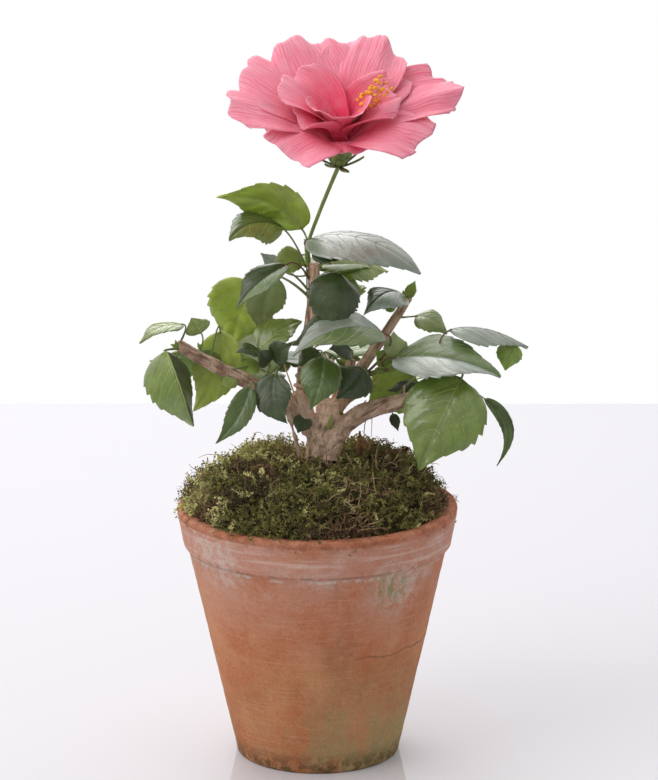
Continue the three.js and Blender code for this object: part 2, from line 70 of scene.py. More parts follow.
def srgb(code):
    """A colour code such as B8734F as linear red, green and blue."""
    shares = [int(code[i : i + 2], 16) / 255 for i in (0, 2, 4)]
    return tuple(s / 12.92 if s <= 0.04045 else ((s + 0.055) / 1.055) ** 2.4 for s in shares)


def opaque(colour):
    return (*colour, 1.0)


def shaded(colour, share, lift=0.0):
    """The colour times a share, lifted a little and kept under 1."""
    return tuple(min(1.0, c * share + lift) for c in colour)


def unit(vectors):
    vectors = np.asarray(vectors, float)
    return vectors / np.maximum(np.linalg.norm(vectors, axis=-1, keepdims=True), 1e-12)


def heading(azimuth, rise):
    """The direction at an azimuth from +X towards +Y and a rise over level, in degrees."""
    a, r = math.radians(azimuth), math.radians(rise)
    return np.array([math.cos(r) * math.cos(a), math.cos(r) * math.sin(a), math.sin(r)])


def smooth(values, low, high):
    """0 below low, 1 above high, and an even S-curve between."""
    t = np.clip((np.asarray(values, float) - low) / (high - low), 0, 1)
    return t * t * (3 - 2 * t)


def bell(distance, width):
    """1 at no distance, falling away to nothing at about twice the width."""
    return np.exp(-((np.asarray(distance) / width) ** 2))


def lumps(points, size, seed, waves=14):
    """A smooth, repeatable unevenness of about -1 to 1, with swells of the given size."""
    rng = np.random.default_rng(seed)
    ways = unit(rng.normal(size=(waves, 3)))
    pace = 2 * math.pi / size * rng.uniform(0.55, 1.5, waves)
    start = rng.uniform(0, 2 * math.pi, waves)
    return np.sin(np.asarray(points) @ (ways * pace[:, None]).T + start).mean(1) * 2.2


def in_box(node, shares):
    """A point given as shares of a frame node's box."""
    low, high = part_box(node)
    return np.array([low[i] + (high[i] - low[i]) * shares[i] for i in range(3)])


def bent(start, end, sag, turn=(0.0, 0.0, 0.0), steps=9):
    """Points from start to end on a line that bows by sag along turn."""
    t = np.linspace(0, 1, steps)[:, None]
    return start + (end - start) * t + np.asarray(turn) * sag * 4 * t * (1 - t)


# ------------------------------------------------------------------ settings


def length(name, description, default):
    return bpy.props.FloatProperty(
        name=name, description=description, default=default, min=0, unit="LENGTH", precision=4
    )


def share(name, description, default):
    return bpy.props.FloatProperty(
        name=name, description=description, default=default, min=0, max=1, subtype="FACTOR"
    )


def colour(name, description, code):
    return bpy.props.FloatVectorProperty(
        name=name, description=description, default=srgb(code), size=3, min=0, max=1,
        subtype="COLOR",
    )


class PotSettings(bpy.types.PropertyGroup):
    foot_radius: length("Foot radius", "Outer radius at the flat underside", 47 * MM)
    wall_top_radius: length("Wall top radius", "Outer radius just under the collar", 74 * MM)
    collar_height: length("Collar height", "From the collar's lower edge to the lip", 22.5 * MM)
    collar_step: length("Collar step", "How far the collar stands out from the wall", 2.5 * MM)
    wall: length("Wall", "Thickness of the clay", 7 * MM)
    wobble: length("Wobble", "How far the hand-thrown wall strays from round", 0.45 * MM)
    clay: colour("Clay", "Fired clay", "BB6F47")
    pale: colour("Pale clay", "Worn, pinkish clay of the collar", "C4907F")
    salt: colour("Salt", "Whitish bloom of lime and salt", "D0C2B8")
    algae: colour("Algae", "Olive stain of the shaded side", "A39468")
    damp: colour("Damp", "Dark stain of the foot", "56472C")


class MossSettings(bpy.types.PropertyGroup):
    sprigs: bpy.props.IntProperty(
        name="Sprigs", description="How many sprigs of moss the mound carries", default=7000, min=0
    )
    sprig_length: length("Sprig length", "Length of an average sprig", 5.6 * MM)
    # The bright tone's pale cream is partly fresh tips and partly painted backlight shining through
    # them.
    bright: colour("Bright", "Fresh tips in the light", "DFD890")
    green: colour("Green", "Living moss", "868242")
    olive: colour("Olive", "Older moss", "655838")
    brown: colour("Brown", "Dry moss and roots", "876447")
    # The dark ground is partly dark soil and partly painted shade in the gaps between the sprigs and
    # cushions.
    depth: colour("Depth", "The dark ground under the sprigs", "2B2417")


class BarkSettings(bpy.types.PropertyGroup):
    voxel: length("Voxel", "Grain of the joined bark mesh", 0.62 * MM)
    relief: length("Relief", "Height of the bark's folds", 0.5 * MM)
    bark: colour("Bark", "Weathered bark", "D2B49C")
    # The pale bark is partly the trunk's own pale tan and partly painted: painted light on the trunk's
    # middle, painted highlight on the ridges.
    pale: colour("Pale bark", "Lighter bark of the trunk and the ridges", "F8D6BA")
    # The crease colour is painted shade in the creases, and the real dark of the pores, splits and
    # fibres.
    shade: colour("Creases", "Dark creases and pores", "5E4636")
    peeled: colour("Peeled", "Bare wood where the bark is off", "F2CDB2")
    cut: colour("Cut", "Old pruning cuts", "E0B69C")
    shoot: colour("Shoot", "Green young shoots", "6E8540")


class LeafSettings(bpy.types.PropertyGroup):
    thickness: length("Thickness", "Thickness of a blade", 0.35 * MM)
    teeth: bpy.props.IntProperty(
        name="Teeth", description="Teeth along each side of a blade", default=9, min=3
    )
    tooth: share("Tooth depth", "Share of the half width that a tooth stands out", 0.1)
    quilt: length("Quilting", "How far the blade swells between its veins", 0.5 * MM)
    vein: length("Vein width", "Width of the midrib at the base", 0.85 * MM)
    deep: colour("Deep", "Shaded leaves", "394720")
    mid: colour("Middling", "Leaves in half shade", "516529")
    green: colour("Green", "Leaves in ordinary light", "6C7F33")
    fresh: colour("Fresh", "Young leaves", "82923E")
    backlit: colour("Backlit", "Leaves with the light behind them", "98A040")
    # The grey is a painted reflection of the bright room on the leaf's face; the leaf itself is green.
    grey: colour("Grey", "Leaves with a silvery bloom", "707F6C")
    sage: colour("Sage", "The greener half of a silvery leaf", "5B703C")
    under: colour("Underside", "Pale underside of every leaf", "87965F")
    veins: colour("Veins", "Veins of the brighter leaves", "A9B56C")
    dull_veins: colour("Dull veins", "Veins of the shaded leaves", "465A34")
    # The silver veins are greyed to go with the painted reflection on the silvery leaves.
    silver_veins: colour("Silver veins", "Veins of the silvery leaves", "8A9486")
    # The white veins are pale veins brightened as painted glints.
    white_veins: colour("White veins", "Veins of a silvery leaf's greener half", "B9C4A4")
    petiole: colour("Leaf stalks", "Green leaf stalks", "78894C")
    ruddy: colour("Ruddy stalks", "Brownish leaf stalks", "7A5B44")


class BloomSettings(bpy.types.PropertyGroup):
    thickness: length("Thickness", "Thickness of a petal", 0.4 * MM)
    lean: bpy.props.FloatProperty(
        name="Lean", description="Lean of the bloom's axis to the front",
        default=math.radians(26), subtype="ANGLE",
    )
    petal: colour("Petal", "Pink of the petals", "F896AA")
    edge: colour("Edge", "Pale edge of the petals", "FBB6C8")
    heart: colour("Heart", "Deep pink in the throat", "F04870")
    anther: colour("Anthers", "Orange-yellow anthers", "FFB93C")
    filament: colour("Filaments", "Filaments and column", "F4A0A8")
    calyx: colour("Calyx", "Green cup and bracts", "82924F")


class StageSettings(bpy.types.PropertyGroup):
    reach: length("Floor reach", "From the pot's middle to the floor's edge", 0.8)
    floor: colour("Floor", "Plain glossy floor", "DDDCE2")
    distance: length("Camera distance", "From the camera to its aim", 2.0)
    pitch: bpy.props.FloatProperty(
        name="Camera pitch", description="How far the camera looks down",
        default=math.radians(14.2), subtype="ANGLE",
    )
    aim_side: bpy.props.FloatProperty(
        name="Aim aside", description="The aim's place to the right of the pot's middle",
        default=6.5 * MM, unit="LENGTH", precision=4,
    )
    aim_height: length("Aim height", "The aim's height over the floor", 213.8 * MM)
    lens: bpy.props.FloatProperty(
        name="Lens", description="Focal length of the camera", default=162.7, min=1
    )


class HibiscusSettings(bpy.types.PropertyGroup):
    pot: bpy.props.PointerProperty(type=PotSettings)
    moss: bpy.props.PointerProperty(type=MossSettings)
    bark: bpy.props.PointerProperty(type=BarkSettings)
    leaf: bpy.props.PointerProperty(type=LeafSettings)
    bloom: bpy.props.PointerProperty(type=BloomSettings)
    stage: bpy.props.PointerProperty(type=StageSettings)


# ------------------------------------------------------------------ meshes


class Heap:
    """Vertices, faces and UVs of many small shapes, joined as they come."""

    def __init__(self):
        self.points, self.uvs, self.faces, self.marks = [], [], [], []
        self.count = 0

    def add(self, points, faces, uvs=None, marks=None):
        points = np.asarray(points, float).reshape(-1, 3)
        blocks = faces if isinstance(faces, list) else [faces]
        for block, mark in zip(blocks, marks or [0] * len(blocks)):
            self.faces.append(np.asarray(block, int) + self.count)
            self.marks.append(np.full(len(block), mark))
        self.points.append(points)
        self.uvs.append(np.zeros((len(points), 2)) if uvs is None else np.reshape(uvs, (-1, 2)))
        self.count += len(points)

    def add_shell(self, upper, lower, uvs=None, under_mark=0):
        """A thin closed sheet between two like grids of points, with a finish for its back."""
        top, under, rim = shell_faces(*upper.shape[:2])
        self.add(np.concatenate([upper.reshape(-1, 3), lower.reshape(-1, 3)]),
                 [top[:, ::-1], rim[:, ::-1], under[:, ::-1]],
                 None if uvs is None else np.tile(uvs, (2, 1)), (0, 0, under_mark))

    def mesh(self, name, materials, shaded_smooth=True):
        points, uvs = np.concatenate(self.points), np.concatenate(self.uvs)
        corners = np.concatenate([f.ravel() for f in self.faces])
        totals = np.concatenate([np.full(len(f), f.shape[1]) for f in self.faces])
        mesh = bpy.data.meshes.new(name)
        mesh.vertices.add(len(points))
        mesh.vertices.foreach_set("co", points.ravel().astype(np.float32))
        mesh.loops.add(len(corners))
        mesh.loops.foreach_set("vertex_index", corners.astype(np.int32))
        mesh.polygons.add(len(totals))
        mesh.polygons.foreach_set("loop_start", np.concatenate([[0], np.cumsum(totals)[:-1]]))
        mesh.polygons.foreach_set("loop_total", totals)
        for material in materials:
            mesh.materials.append(material)
        mesh.polygons.foreach_set("material_index", np.concatenate(self.marks).astype(np.int32))
        layer = mesh.uv_layers.new(name="surface")
        layer.data.foreach_set("uv", uvs[corners].ravel().astype(np.float32))
        mesh.update(calc_edges=True)
        mesh.validate()
        mesh.polygons.foreach_set("use_smooth", np.full(len(totals), shaded_smooth))
        return mesh


def show(name, mesh, slot, *nodes):
    """A mesh as a finished piece on the plant's one body, standing for these frame nodes."""
    made = bpy.data.objects.new(name, mesh)
    bpy.context.scene.collection.objects.link(made)
    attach(made, BODY)
    if nodes:
        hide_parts(*nodes)
    return made


def grid_faces(rows, columns, closed=False):
    """The quads of a grid of points, row by row; closed joins the last column to the first."""
    row, column = np.meshgrid(
        np.arange(rows - 1), np.arange(columns if closed else columns - 1), indexing="ij"
    )
    a = row * columns + column
    b = row * columns + (column + 1) % columns
    return np.stack([a, b, b + columns, a + columns], -1).reshape(-1, 4)


def ring_faces(line, gap):
    """The quads from a closed line of points to its copy, which is that many points on."""
    after = np.roll(line, -1)
    return np.stack([line, after, after + gap, line + gap], -1)


def chart(across, along):
    """The UVs of a grid of points."""
    return np.stack(np.broadcast_arrays(across, along), -1).reshape(-1, 2)


def strip_faces(line, other):
    """The quads between two lines of points."""
    return np.stack([line[:-1], line[1:], other[1:], other[:-1]], -1)


def shell_faces(rows, columns):
    """The quads of two grids of points, upper then lower, sewn together round their edge."""
    upper, count = grid_faces(rows, columns), rows * columns
    places = np.arange(count).reshape(rows, columns)
    edges = (places[0, ::-1], places[-1], places[:, 0], places[::-1, -1])
    rim = np.concatenate([strip_faces(line, line + count) for line in edges])
    return [upper, upper[:, ::-1] + count, rim]


def carried_sides(path, first):
    """Square directions along a path, carried from its start without twist."""
    tangents = unit(np.gradient(path, axis=0))
    sides = []
    side = np.asarray(first, float)
    for tangent in tangents:
        side = unit(side - tangent * (side @ tangent))
        sides.append(side)
    sides = np.array(sides)
    return tangents, sides, np.cross(tangents, sides)


def tube(path, radii, sides=8):
    """A closed round tube along a path."""
    path = np.asarray(path, float)
    radii = np.broadcast_to(np.asarray(radii, float), len(path))
    first = np.array([0.31, 0.9, 0.28])
    _, side, face = carried_sides(path, first)
    angle = np.linspace(0, 2 * math.pi, sides, endpoint=False)
    ring = (
        side[:, None] * np.cos(angle)[None, :, None] + face[:, None] * np.sin(angle)[None, :, None]
    )
    points = (path[:, None] + ring * radii[:, None, None]).reshape(-1, 3)
    last = (len(path) - 1) * sides
    ends = np.array([np.arange(sides)[::-1], np.arange(sides) + last])
    return points, [grid_faces(len(path), sides, closed=True), ends]


# How much thinner than its solid a limb is made.
SLIM = {"shoot_left": 1.1 * MM}


def frame_mesh(*nodes, grow=0.0):
    """A merged copy of frame nodes as one bmesh, each grown outwards."""
    joined = bmesh.new()
    for node in nodes:
        part = bmesh.new()
        part.from_mesh(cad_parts[node].data)
        bmesh.ops.remove_doubles(part, verts=part.verts, dist=0.01 * MM)
        part.normal_update()
        for vertex in part.verts:
            vertex.co += vertex.normal * (grow - SLIM.get(node, 0.0))
        copy = written("copy", part)
        joined.from_mesh(copy)
        bpy.data.meshes.remove(copy)
    return joined


def coordinates(mesh, kind="co"):
    """The places of a mesh's vertices as rows, or their normals."""
    found = np.zeros(len(mesh.vertices) * 3, np.float32)
    mesh.vertices.foreach_get(kind, found)
    return found.reshape(-1, 3).astype(float)


def node_points(node):
    return coordinates(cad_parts[node].data)


def written(name, work):
    """A plain mesh of a bmesh, which is freed."""
    mesh = bpy.data.meshes.new(name)
    work.to_mesh(mesh)
    work.free()
    return mesh


def give(mesh, name, values, kind="FLOAT"):
    """An attribute of the vertices, one number or one vector to each."""
    layer = mesh.attributes.new(name, kind, "POINT")
    layer.data.foreach_set("vector" if kind == "FLOAT_VECTOR" else "value", values)


def move_points(mesh, points):
    mesh.vertices.foreach_set("co", np.asarray(points, np.float32).ravel())
    mesh.update()


def drop(shape):
    """Remove a working object and its mesh."""
    old = shape.data
    bpy.data.objects.remove(shape)
    bpy.data.meshes.remove(old)


def baked(name, holder, smooth=True):
    """The plain mesh that an object's modifiers give; the object is removed."""
    graph = bpy.context.evaluated_depsgraph_get()
    graph.update()
    mesh = bpy.data.meshes.new_from_object(holder.evaluated_get(graph))
    mesh.name = name
    if smooth:
        mesh.polygons.foreach_set("use_smooth", np.ones(len(mesh.polygons), bool))
    holder.modifiers.clear()
    drop(holder)
    return mesh


def held(name, mesh):
    """A working object, which isn't a piece yet."""
    holder = bpy.data.objects.new(name, mesh)
    bpy.context.scene.collection.objects.link(holder)
    return holder


# ------------------------------------------------------------------ finishes


def feed(tree, socket, value):
    """Link a socket to another, or set it to a plain value."""
    if isinstance(value, bpy.types.NodeSocket):
        tree.links.new(value, socket)
    else:
        socket.default_value = value


def add_node(tree, kind, inputs, **settings):
    made = tree.nodes.new(kind)
    for key, value in settings.items():
        setattr(made, key, value)
    for key, value in inputs.items():
        feed(tree, made.inputs[key], value)
    return made


def painted(colour):
    """A socket as it is, or a plain colour or colour code with its opacity."""
    if isinstance(colour, bpy.types.NodeSocket):
        return colour
    return opaque(srgb(colour) if isinstance(colour, str) else colour)


class Finish:
    """A node material in the making; each method adds a node and gives its output."""

    def __init__(self, name):
        self.material = bpy.data.materials.new(name)
        self.material.use_nodes = True
        self.tree = self.material.node_tree
        self.tree.nodes.clear()
        self.shader = self.tree.nodes.new("ShaderNodeBsdfPrincipled")
        output = self.tree.nodes.new("ShaderNodeOutputMaterial")
        self.tree.links.new(self.shader.outputs[0], output.inputs["Surface"])
        self.place = self.tree.nodes.new("ShaderNodeTexCoord").outputs["Object"]
        self.base = None

    def node(self, kind, inputs, **settings):
        return add_node(self.tree, kind, inputs, **settings)

    def where(self, stretch):
        """The place on the piece, scaled along each axis where a stretch is given."""
        if not stretch:
            return self.place
        return self.node(
            "ShaderNodeVectorMath", {0: self.place, 1: stretch}, operation="MULTIPLY"
        ).outputs[0]

    def noise(self, size, detail=3.0, roughness=0.55, stretch=None):
        """Noise with swells of the given size in metres."""
        return self.node(
            "ShaderNodeTexNoise",
            {"Vector": self.where(stretch), "Scale": 1 / size, "Detail": detail,
             "Roughness": roughness},
        ).outputs[0]

    def streaks(self, across, along, detail, **wanted):
        """Noise over the piece's own map, read at these two numbers."""
        where = self.node("ShaderNodeCombineXYZ", {0: across, 1: along}).outputs[0]
        return self.node(
            "ShaderNodeTexNoise", {"Vector": where, "Scale": 1.0, "Detail": detail, **wanted}
        ).outputs[0]

    def spots(self, size, stretch=None):
        """Distance from scattered points that lie about the given size apart."""
        return self.node(
            "ShaderNodeTexVoronoi", {"Vector": self.where(stretch), "Scale": 1 / size}
        ).outputs[0]

    def ramp(self, value, low, high):
        return self.node(
            "ShaderNodeMapRange",
            {"Value": value, "From Min": low, "From Max": high},
            interpolation_type="SMOOTHSTEP",
        ).outputs[0]

    def sum(self, kind, a, b):
        return self.node("ShaderNodeMath", {0: a, 1: b}, operation=kind, use_clamp=False).outputs[0]

    def times(self, a, b):
        return self.sum("MULTIPLY", a, b)

    def band(self, value, start, full, fading, end):
        """1 between full and fading, 0 outside start and end."""
        return self.times(self.ramp(value, start, full), self.ramp(value, end, fading))

    def axes(self):
        return tuple(self.node("ShaderNodeSeparateXYZ", {0: self.place}).outputs)

    def near(self, point, reach, soft=0.5):
        """1 near a point and 0 past the reach."""
        gap = self.node(
            "ShaderNodeVectorMath", {0: self.place, 1: tuple(point)}, operation="DISTANCE"
        ).outputs["Value"]
        return self.ramp(gap, reach, reach * soft)

    def mix(self, factor, a, b):
        inputs = {0: factor, 6: painted(a), 7: painted(b)}
        return self.node("ShaderNodeMix", inputs, data_type="RGBA").outputs[2]

    def coat(self, colour, strength, *masks):
        """Lay a colour over the base, as strongly as the masks' product allows."""
        for mask in masks[1:][::-1]:
            strength = self.times(mask, strength)
        self.base = self.mix(self.times(masks[0], strength), self.base, colour)

    def surface(self):
        """The piece's own UV map, as its two numbers."""
        where = self.tree.nodes.new("ShaderNodeUVMap")
        where.uv_map = "surface"
        return self.node("ShaderNodeSeparateXYZ", {0: where.outputs[0]}).outputs

    def bump(self, height, distance, strength=1.0):
        made = self.node(
            "ShaderNodeBump", {"Height": height, "Distance": distance, "Strength": strength}
        )
        self.tree.links.new(made.outputs[0], self.shader.inputs["Normal"])

    def set(self, base, roughness=0.6, **plain):
        """Colour and roughness may come from nodes; the other sockets take plain numbers."""
        feed(self.tree, self.shader.inputs["Base Color"], painted(base))
        feed(self.tree, self.shader.inputs["Roughness"], roughness)
        names = {
            "specular": "Specular IOR Level", "coat": "Coat Weight",
            "coat_roughness": "Coat Roughness", "sheen": "Sheen Weight",
            "subsurface": "Subsurface Weight", "depth": "Subsurface Scale",
            "radius": "Subsurface Radius",
        }
        for key, value in plain.items():
            self.shader.inputs[names[key]].default_value = value
        return self.material


def mottled(name, first, second, size, high, bump, roughness, **looks):
    """A finish in blotches of two colours, with a bump of its own size, detail and height."""
    f = Finish(name)
    tint = f.mix(f.ramp(f.noise(size), 0.35, high), first, second)
    if bump:
        swell, detail, grain, height, strength = bump
        f.bump(f.noise(swell, detail, grain), height, strength)
    return f.set(tint, roughness, **looks)


def crumbly(name, size, depth, high, dark, light):
    """A finish of loose dark crumbs."""
    f = Finish(name)
    grain = f.noise(size, 6.0, 0.75)
    f.bump(grain, depth)
    return f.set(f.mix(f.ramp(grain, 0.35, high), dark, light), 0.95, specular=0.1)


# ------------------------------------------------------------------ geometry nodes


def new_tree(name, sockets):
    """A Geometry Nodes tree with its group sockets, the first of them the geometry."""
    tree = bpy.data.node_groups.new(name, "GeometryNodeTree")
    tree.interface.new_socket("Geometry", in_out="OUTPUT", socket_type="NodeSocketGeometry")
    tree.interface.new_socket("Geometry", in_out="INPUT", socket_type="NodeSocketGeometry")
    for label, kind in sockets:
        tree.interface.new_socket(label, in_out="INPUT", socket_type=f"NodeSocket{kind}")
    return tree, tree.nodes.new("NodeGroupInput").outputs, tree.nodes.new("NodeGroupOutput")


def planted(tree, result, points, shape, turn, size, finish):
    """The last steps of a tree: its shape on every point, made real and given its finish."""
    copies = add_node(
        tree, "GeometryNodeInstanceOnPoints",
        {"Points": points, "Instance": shape.outputs["Geometry"], "Rotation": turn, "Scale": size},
    )
    real = add_node(tree, "GeometryNodeRealizeInstances", {"Geometry": copies.outputs[0]})
    finished = add_node(
        tree, "GeometryNodeSetMaterial", {"Geometry": real.outputs[0], "Material": finish}
    )
    tree.links.new(finished.outputs[0], result.inputs[0])
    return tree


def scatter_tree():
    """Sprigs scattered over a surface, thick where its attribute named patch is high."""
    tree, ask, result = new_tree(
        "scattered sprigs",
        [("Sprig", "Object"), ("Density", "Float"), ("Seed", "Int"), ("Smallest", "Float"),
         ("Largest", "Float"), ("Lean", "Float"), ("Finish", "Material")],
    )
    patch = add_node(tree, "GeometryNodeInputNamedAttribute", {"Name": "patch"}, data_type="FLOAT")
    density = add_node(
        tree, "ShaderNodeMath", {0: ask["Density"], 1: patch.outputs[0]}, operation="MULTIPLY"
    )
    points = add_node(
        tree, "GeometryNodeDistributePointsOnFaces",
        {"Mesh": ask["Geometry"], "Density": density.outputs[0], "Seed": ask["Seed"]},
    )
    back = add_node(tree, "ShaderNodeMath", {0: ask["Lean"], 1: -1.0}, operation="MULTIPLY")
    most = add_node(tree, "ShaderNodeCombineXYZ", {0: ask["Lean"], 1: ask["Lean"], 2: math.tau})
    least = add_node(tree, "ShaderNodeCombineXYZ", {0: back.outputs[0], 1: back.outputs[0], 2: 0.0})
    tilt = add_node(
        tree, "FunctionNodeRandomValue",
        {0: least.outputs[0], 1: most.outputs[0], "Seed": ask["Seed"]}, data_type="FLOAT_VECTOR",
    )
    turned = add_node(
        tree, "FunctionNodeRotateRotation",
        {"Rotation": points.outputs["Rotation"], "Rotate By": tilt.outputs["Value"]},
        rotation_space="LOCAL",
    )
    size = add_node(
        tree, "FunctionNodeRandomValue",
        {2: ask["Smallest"], 3: ask["Largest"], "Seed": ask["Seed"]}, data_type="FLOAT",
    )
    sprig = add_node(tree, "GeometryNodeObjectInfo", {"Object": ask["Sprig"]})
    return planted(tree, result, points.outputs["Points"], sprig, turned.outputs[0],
                   size.outputs[1], ask["Finish"])


def planting_tree():
    """One shape set on each point, turned and sized by the points' own attributes."""
    tree, ask, result = new_tree("planted shapes", [("Shape", "Object"), ("Finish", "Material")])
    turn = add_node(
        tree, "GeometryNodeInputNamedAttribute", {"Name": "turn"}, data_type="FLOAT_VECTOR"
    )
    size = add_node(tree, "GeometryNodeInputNamedAttribute", {"Name": "size"}, data_type="FLOAT")
    shape = add_node(tree, "GeometryNodeObjectInfo", {"Object": ask["Shape"]})
    points = add_node(tree, "GeometryNodeMeshToPoints", {"Mesh": ask["Geometry"]})
    return planted(tree, result, points.outputs[0], shape, turn.outputs[0], size.outputs[0],
                   ask["Finish"])


def run_tree(name, tree, mesh, values):
    """The plain mesh that a tree makes of a mesh, with the tree's inputs set by their names."""
    holder = held(name, mesh)
    modifier = holder.modifiers.new("nodes", "NODES")
    modifier.node_group = tree
    for socket in tree.interface.items_tree:
        if socket.in_out == "INPUT" and socket.name in values:
            modifier[socket.identifier] = values[socket.name]
    return baked(name, holder)


def plant(name, tree, shape, points, towards, sizes, finish):
    """Copies of a working shape, its +Z along each direction, as one mesh; the shape goes."""
    mesh = bpy.data.meshes.new(name)
    mesh.from_pydata([tuple(p) for p in points], [], [])
    turns = [turn for way in towards for turn in Vector(way).to_track_quat("Z", "Y").to_euler()]
    give(mesh, "turn", turns, "FLOAT_VECTOR")
    give(mesh, "size", sizes)
    made = run_tree(name, tree, mesh, {"Shape": shape, "Finish": finish})
    drop(shape)
    return made


# ------------------------------------------------------------------ stage


class HIBISCUS_OT_stage(bpy.types.Operator):
    """Set up the floor, the soft light and the camera"""

    bl_idname = "hibiscus.stage"
    bl_label = "Stage"

    def execute(self, context):
        wanted = context.scene.hibiscus.stage
        self.floor(wanted)
        self.sky(context)
        self.lamps()
        self.camera(context, wanted)
        context.scene.view_settings.view_transform = "Standard"
        return {"FINISHED"}

    def floor(self, wanted):
        finish = Finish("glossy floor")
        finish.set(
            finish.mix(finish.noise(0.5, 1.0), wanted.floor, "D9D8DE"), 0.04, specular=0.5
        )
        reach = wanted.reach
        heap = Heap()
        corners = [(-reach, -reach), (reach, -reach), (reach, reach), (-reach, reach)]
        heap.add([(x, y, z) for z in (0.0, -4 * MM) for x, y in corners],
                 [np.array([[0, 1, 2, 3], [7, 6, 5, 4], [0, 4, 5, 1], [1, 5, 6, 2],
                            [2, 6, 7, 3], [3, 7, 4, 0]])])
        floor = held("floor", heap.mesh("floor", [finish.material], shaded_smooth=False))

    def sky(self, context):
        """White for the camera; a wide soft light for the plant, brightest behind and above."""
        world = bpy.data.worlds.new("studio")
        context.scene.world = world
        world.use_nodes = True
        tree = world.node_tree
        tree.nodes.clear()
        way = add_node(tree, "ShaderNodeTexCoord", {}).outputs["Generated"]
        parts = add_node(tree, "ShaderNodeSeparateXYZ", {0: way}).outputs

        def spread(axis, start, end, first, last, kind="SMOOTHSTEP"):
            return add_node(
                tree, "ShaderNodeMapRange",
                {"Value": parts[axis], "From Min": start, "From Max": end, "To Min": first,
                 "To Max": last}, interpolation_type=kind,
            ).outputs[0]

        high, behind = spread(2, -0.3, 0.9, 0.0, 0.28), spread(1, -0.6, 0.7, 0.42, 0.92)
        both = add_node(tree, "ShaderNodeMath", {0: high, 1: behind}, operation="ADD").outputs[0]
        aside = spread(0, -1.0, 1.0, 1.12, 0.8, "LINEAR")
        total = add_node(tree, "ShaderNodeMath", {0: both, 1: aside}, operation="MULTIPLY").outputs[0]
        soft = add_node(
            tree, "ShaderNodeBackground", {"Color": opaque((1.0, 0.99, 0.985)), "Strength": total}
        )
        plain = add_node(
            tree, "ShaderNodeBackground", {"Color": opaque((1, 1, 1)), "Strength": 1.0}
        )
        seen = add_node(tree, "ShaderNodeLightPath", {}).outputs["Is Camera Ray"]
        mixed = add_node(
            tree, "ShaderNodeMixShader", {0: seen, 1: soft.outputs[0], 2: plain.outputs[0]}
        )
        output = tree.nodes.new("ShaderNodeOutputWorld")
        tree.links.new(mixed.outputs[0], output.inputs["Surface"])

    def lamps(self):
        lamps = (
            ("key", (-0.8, -0.5, 1.2), 0.8, 6.0, (1.0, 0.98, 0.96)),
            ("back", (-0.3, 1.1, 1.2), 1.0, 8.0, (1.0, 1.0, 1.0)),
        )
        for name, place, width, power, tint in lamps:
            light = bpy.data.lights.new(name, "AREA")
            light.energy = power
            light.color = tint
            light.size = width
            lamp = bpy.data.objects.new(name, light)
            lamp.location = place
            aim = Vector((0, 0, 0.2)) - lamp.location
            lamp.rotation_euler = aim.to_track_quat("-Z", "Y").to_euler()
            bpy.context.scene.collection.objects.link(lamp)

    def camera(self, context, wanted):
        data = bpy.data.cameras.new("camera")
        data.lens = wanted.lens
        data.sensor_width = 36
        camera = bpy.data.objects.new("camera", data)
        forward = Vector((0, math.cos(wanted.pitch), -math.sin(wanted.pitch)))
        aim = Vector((wanted.aim_side, 0, wanted.aim_height))
        camera.location = aim - forward * wanted.distance
        camera.rotation_euler = forward.to_track_quat("-Z", "Y").to_euler()
        context.scene.collection.objects.link(camera)
        context.scene.camera = camera


# ------------------------------------------------------------------ pot


DRAIN_HOLES = 3
DRAIN_RADIUS = 4.5 * MM
DRAIN_CIRCLE = 22 * MM
FLOOR = 9 * MM
OUTSIDE = 137  # stations of the section before it turns over the lip's inner edge
NICKS = (  # azimuth and height of small chips in the wall, and how wide and deep each is
    (-42, 86, 1.6, 0.7), (-45, 69, 1.9, 0.8), (-116, 106, 1.4, 0.6), (-60, 108, 1.2, 0.6),
    (-75, 37, 1.5, 0.5), (-132, 62, 1.3, 0.5), (35, 80, 1.8, 0.7), (140, 95, 1.6, 0.6),
    (88, 50, 1.7, 0.6), (-20, 28, 1.5, 0.5), (-98, 20, 1.6, 0.6),
)


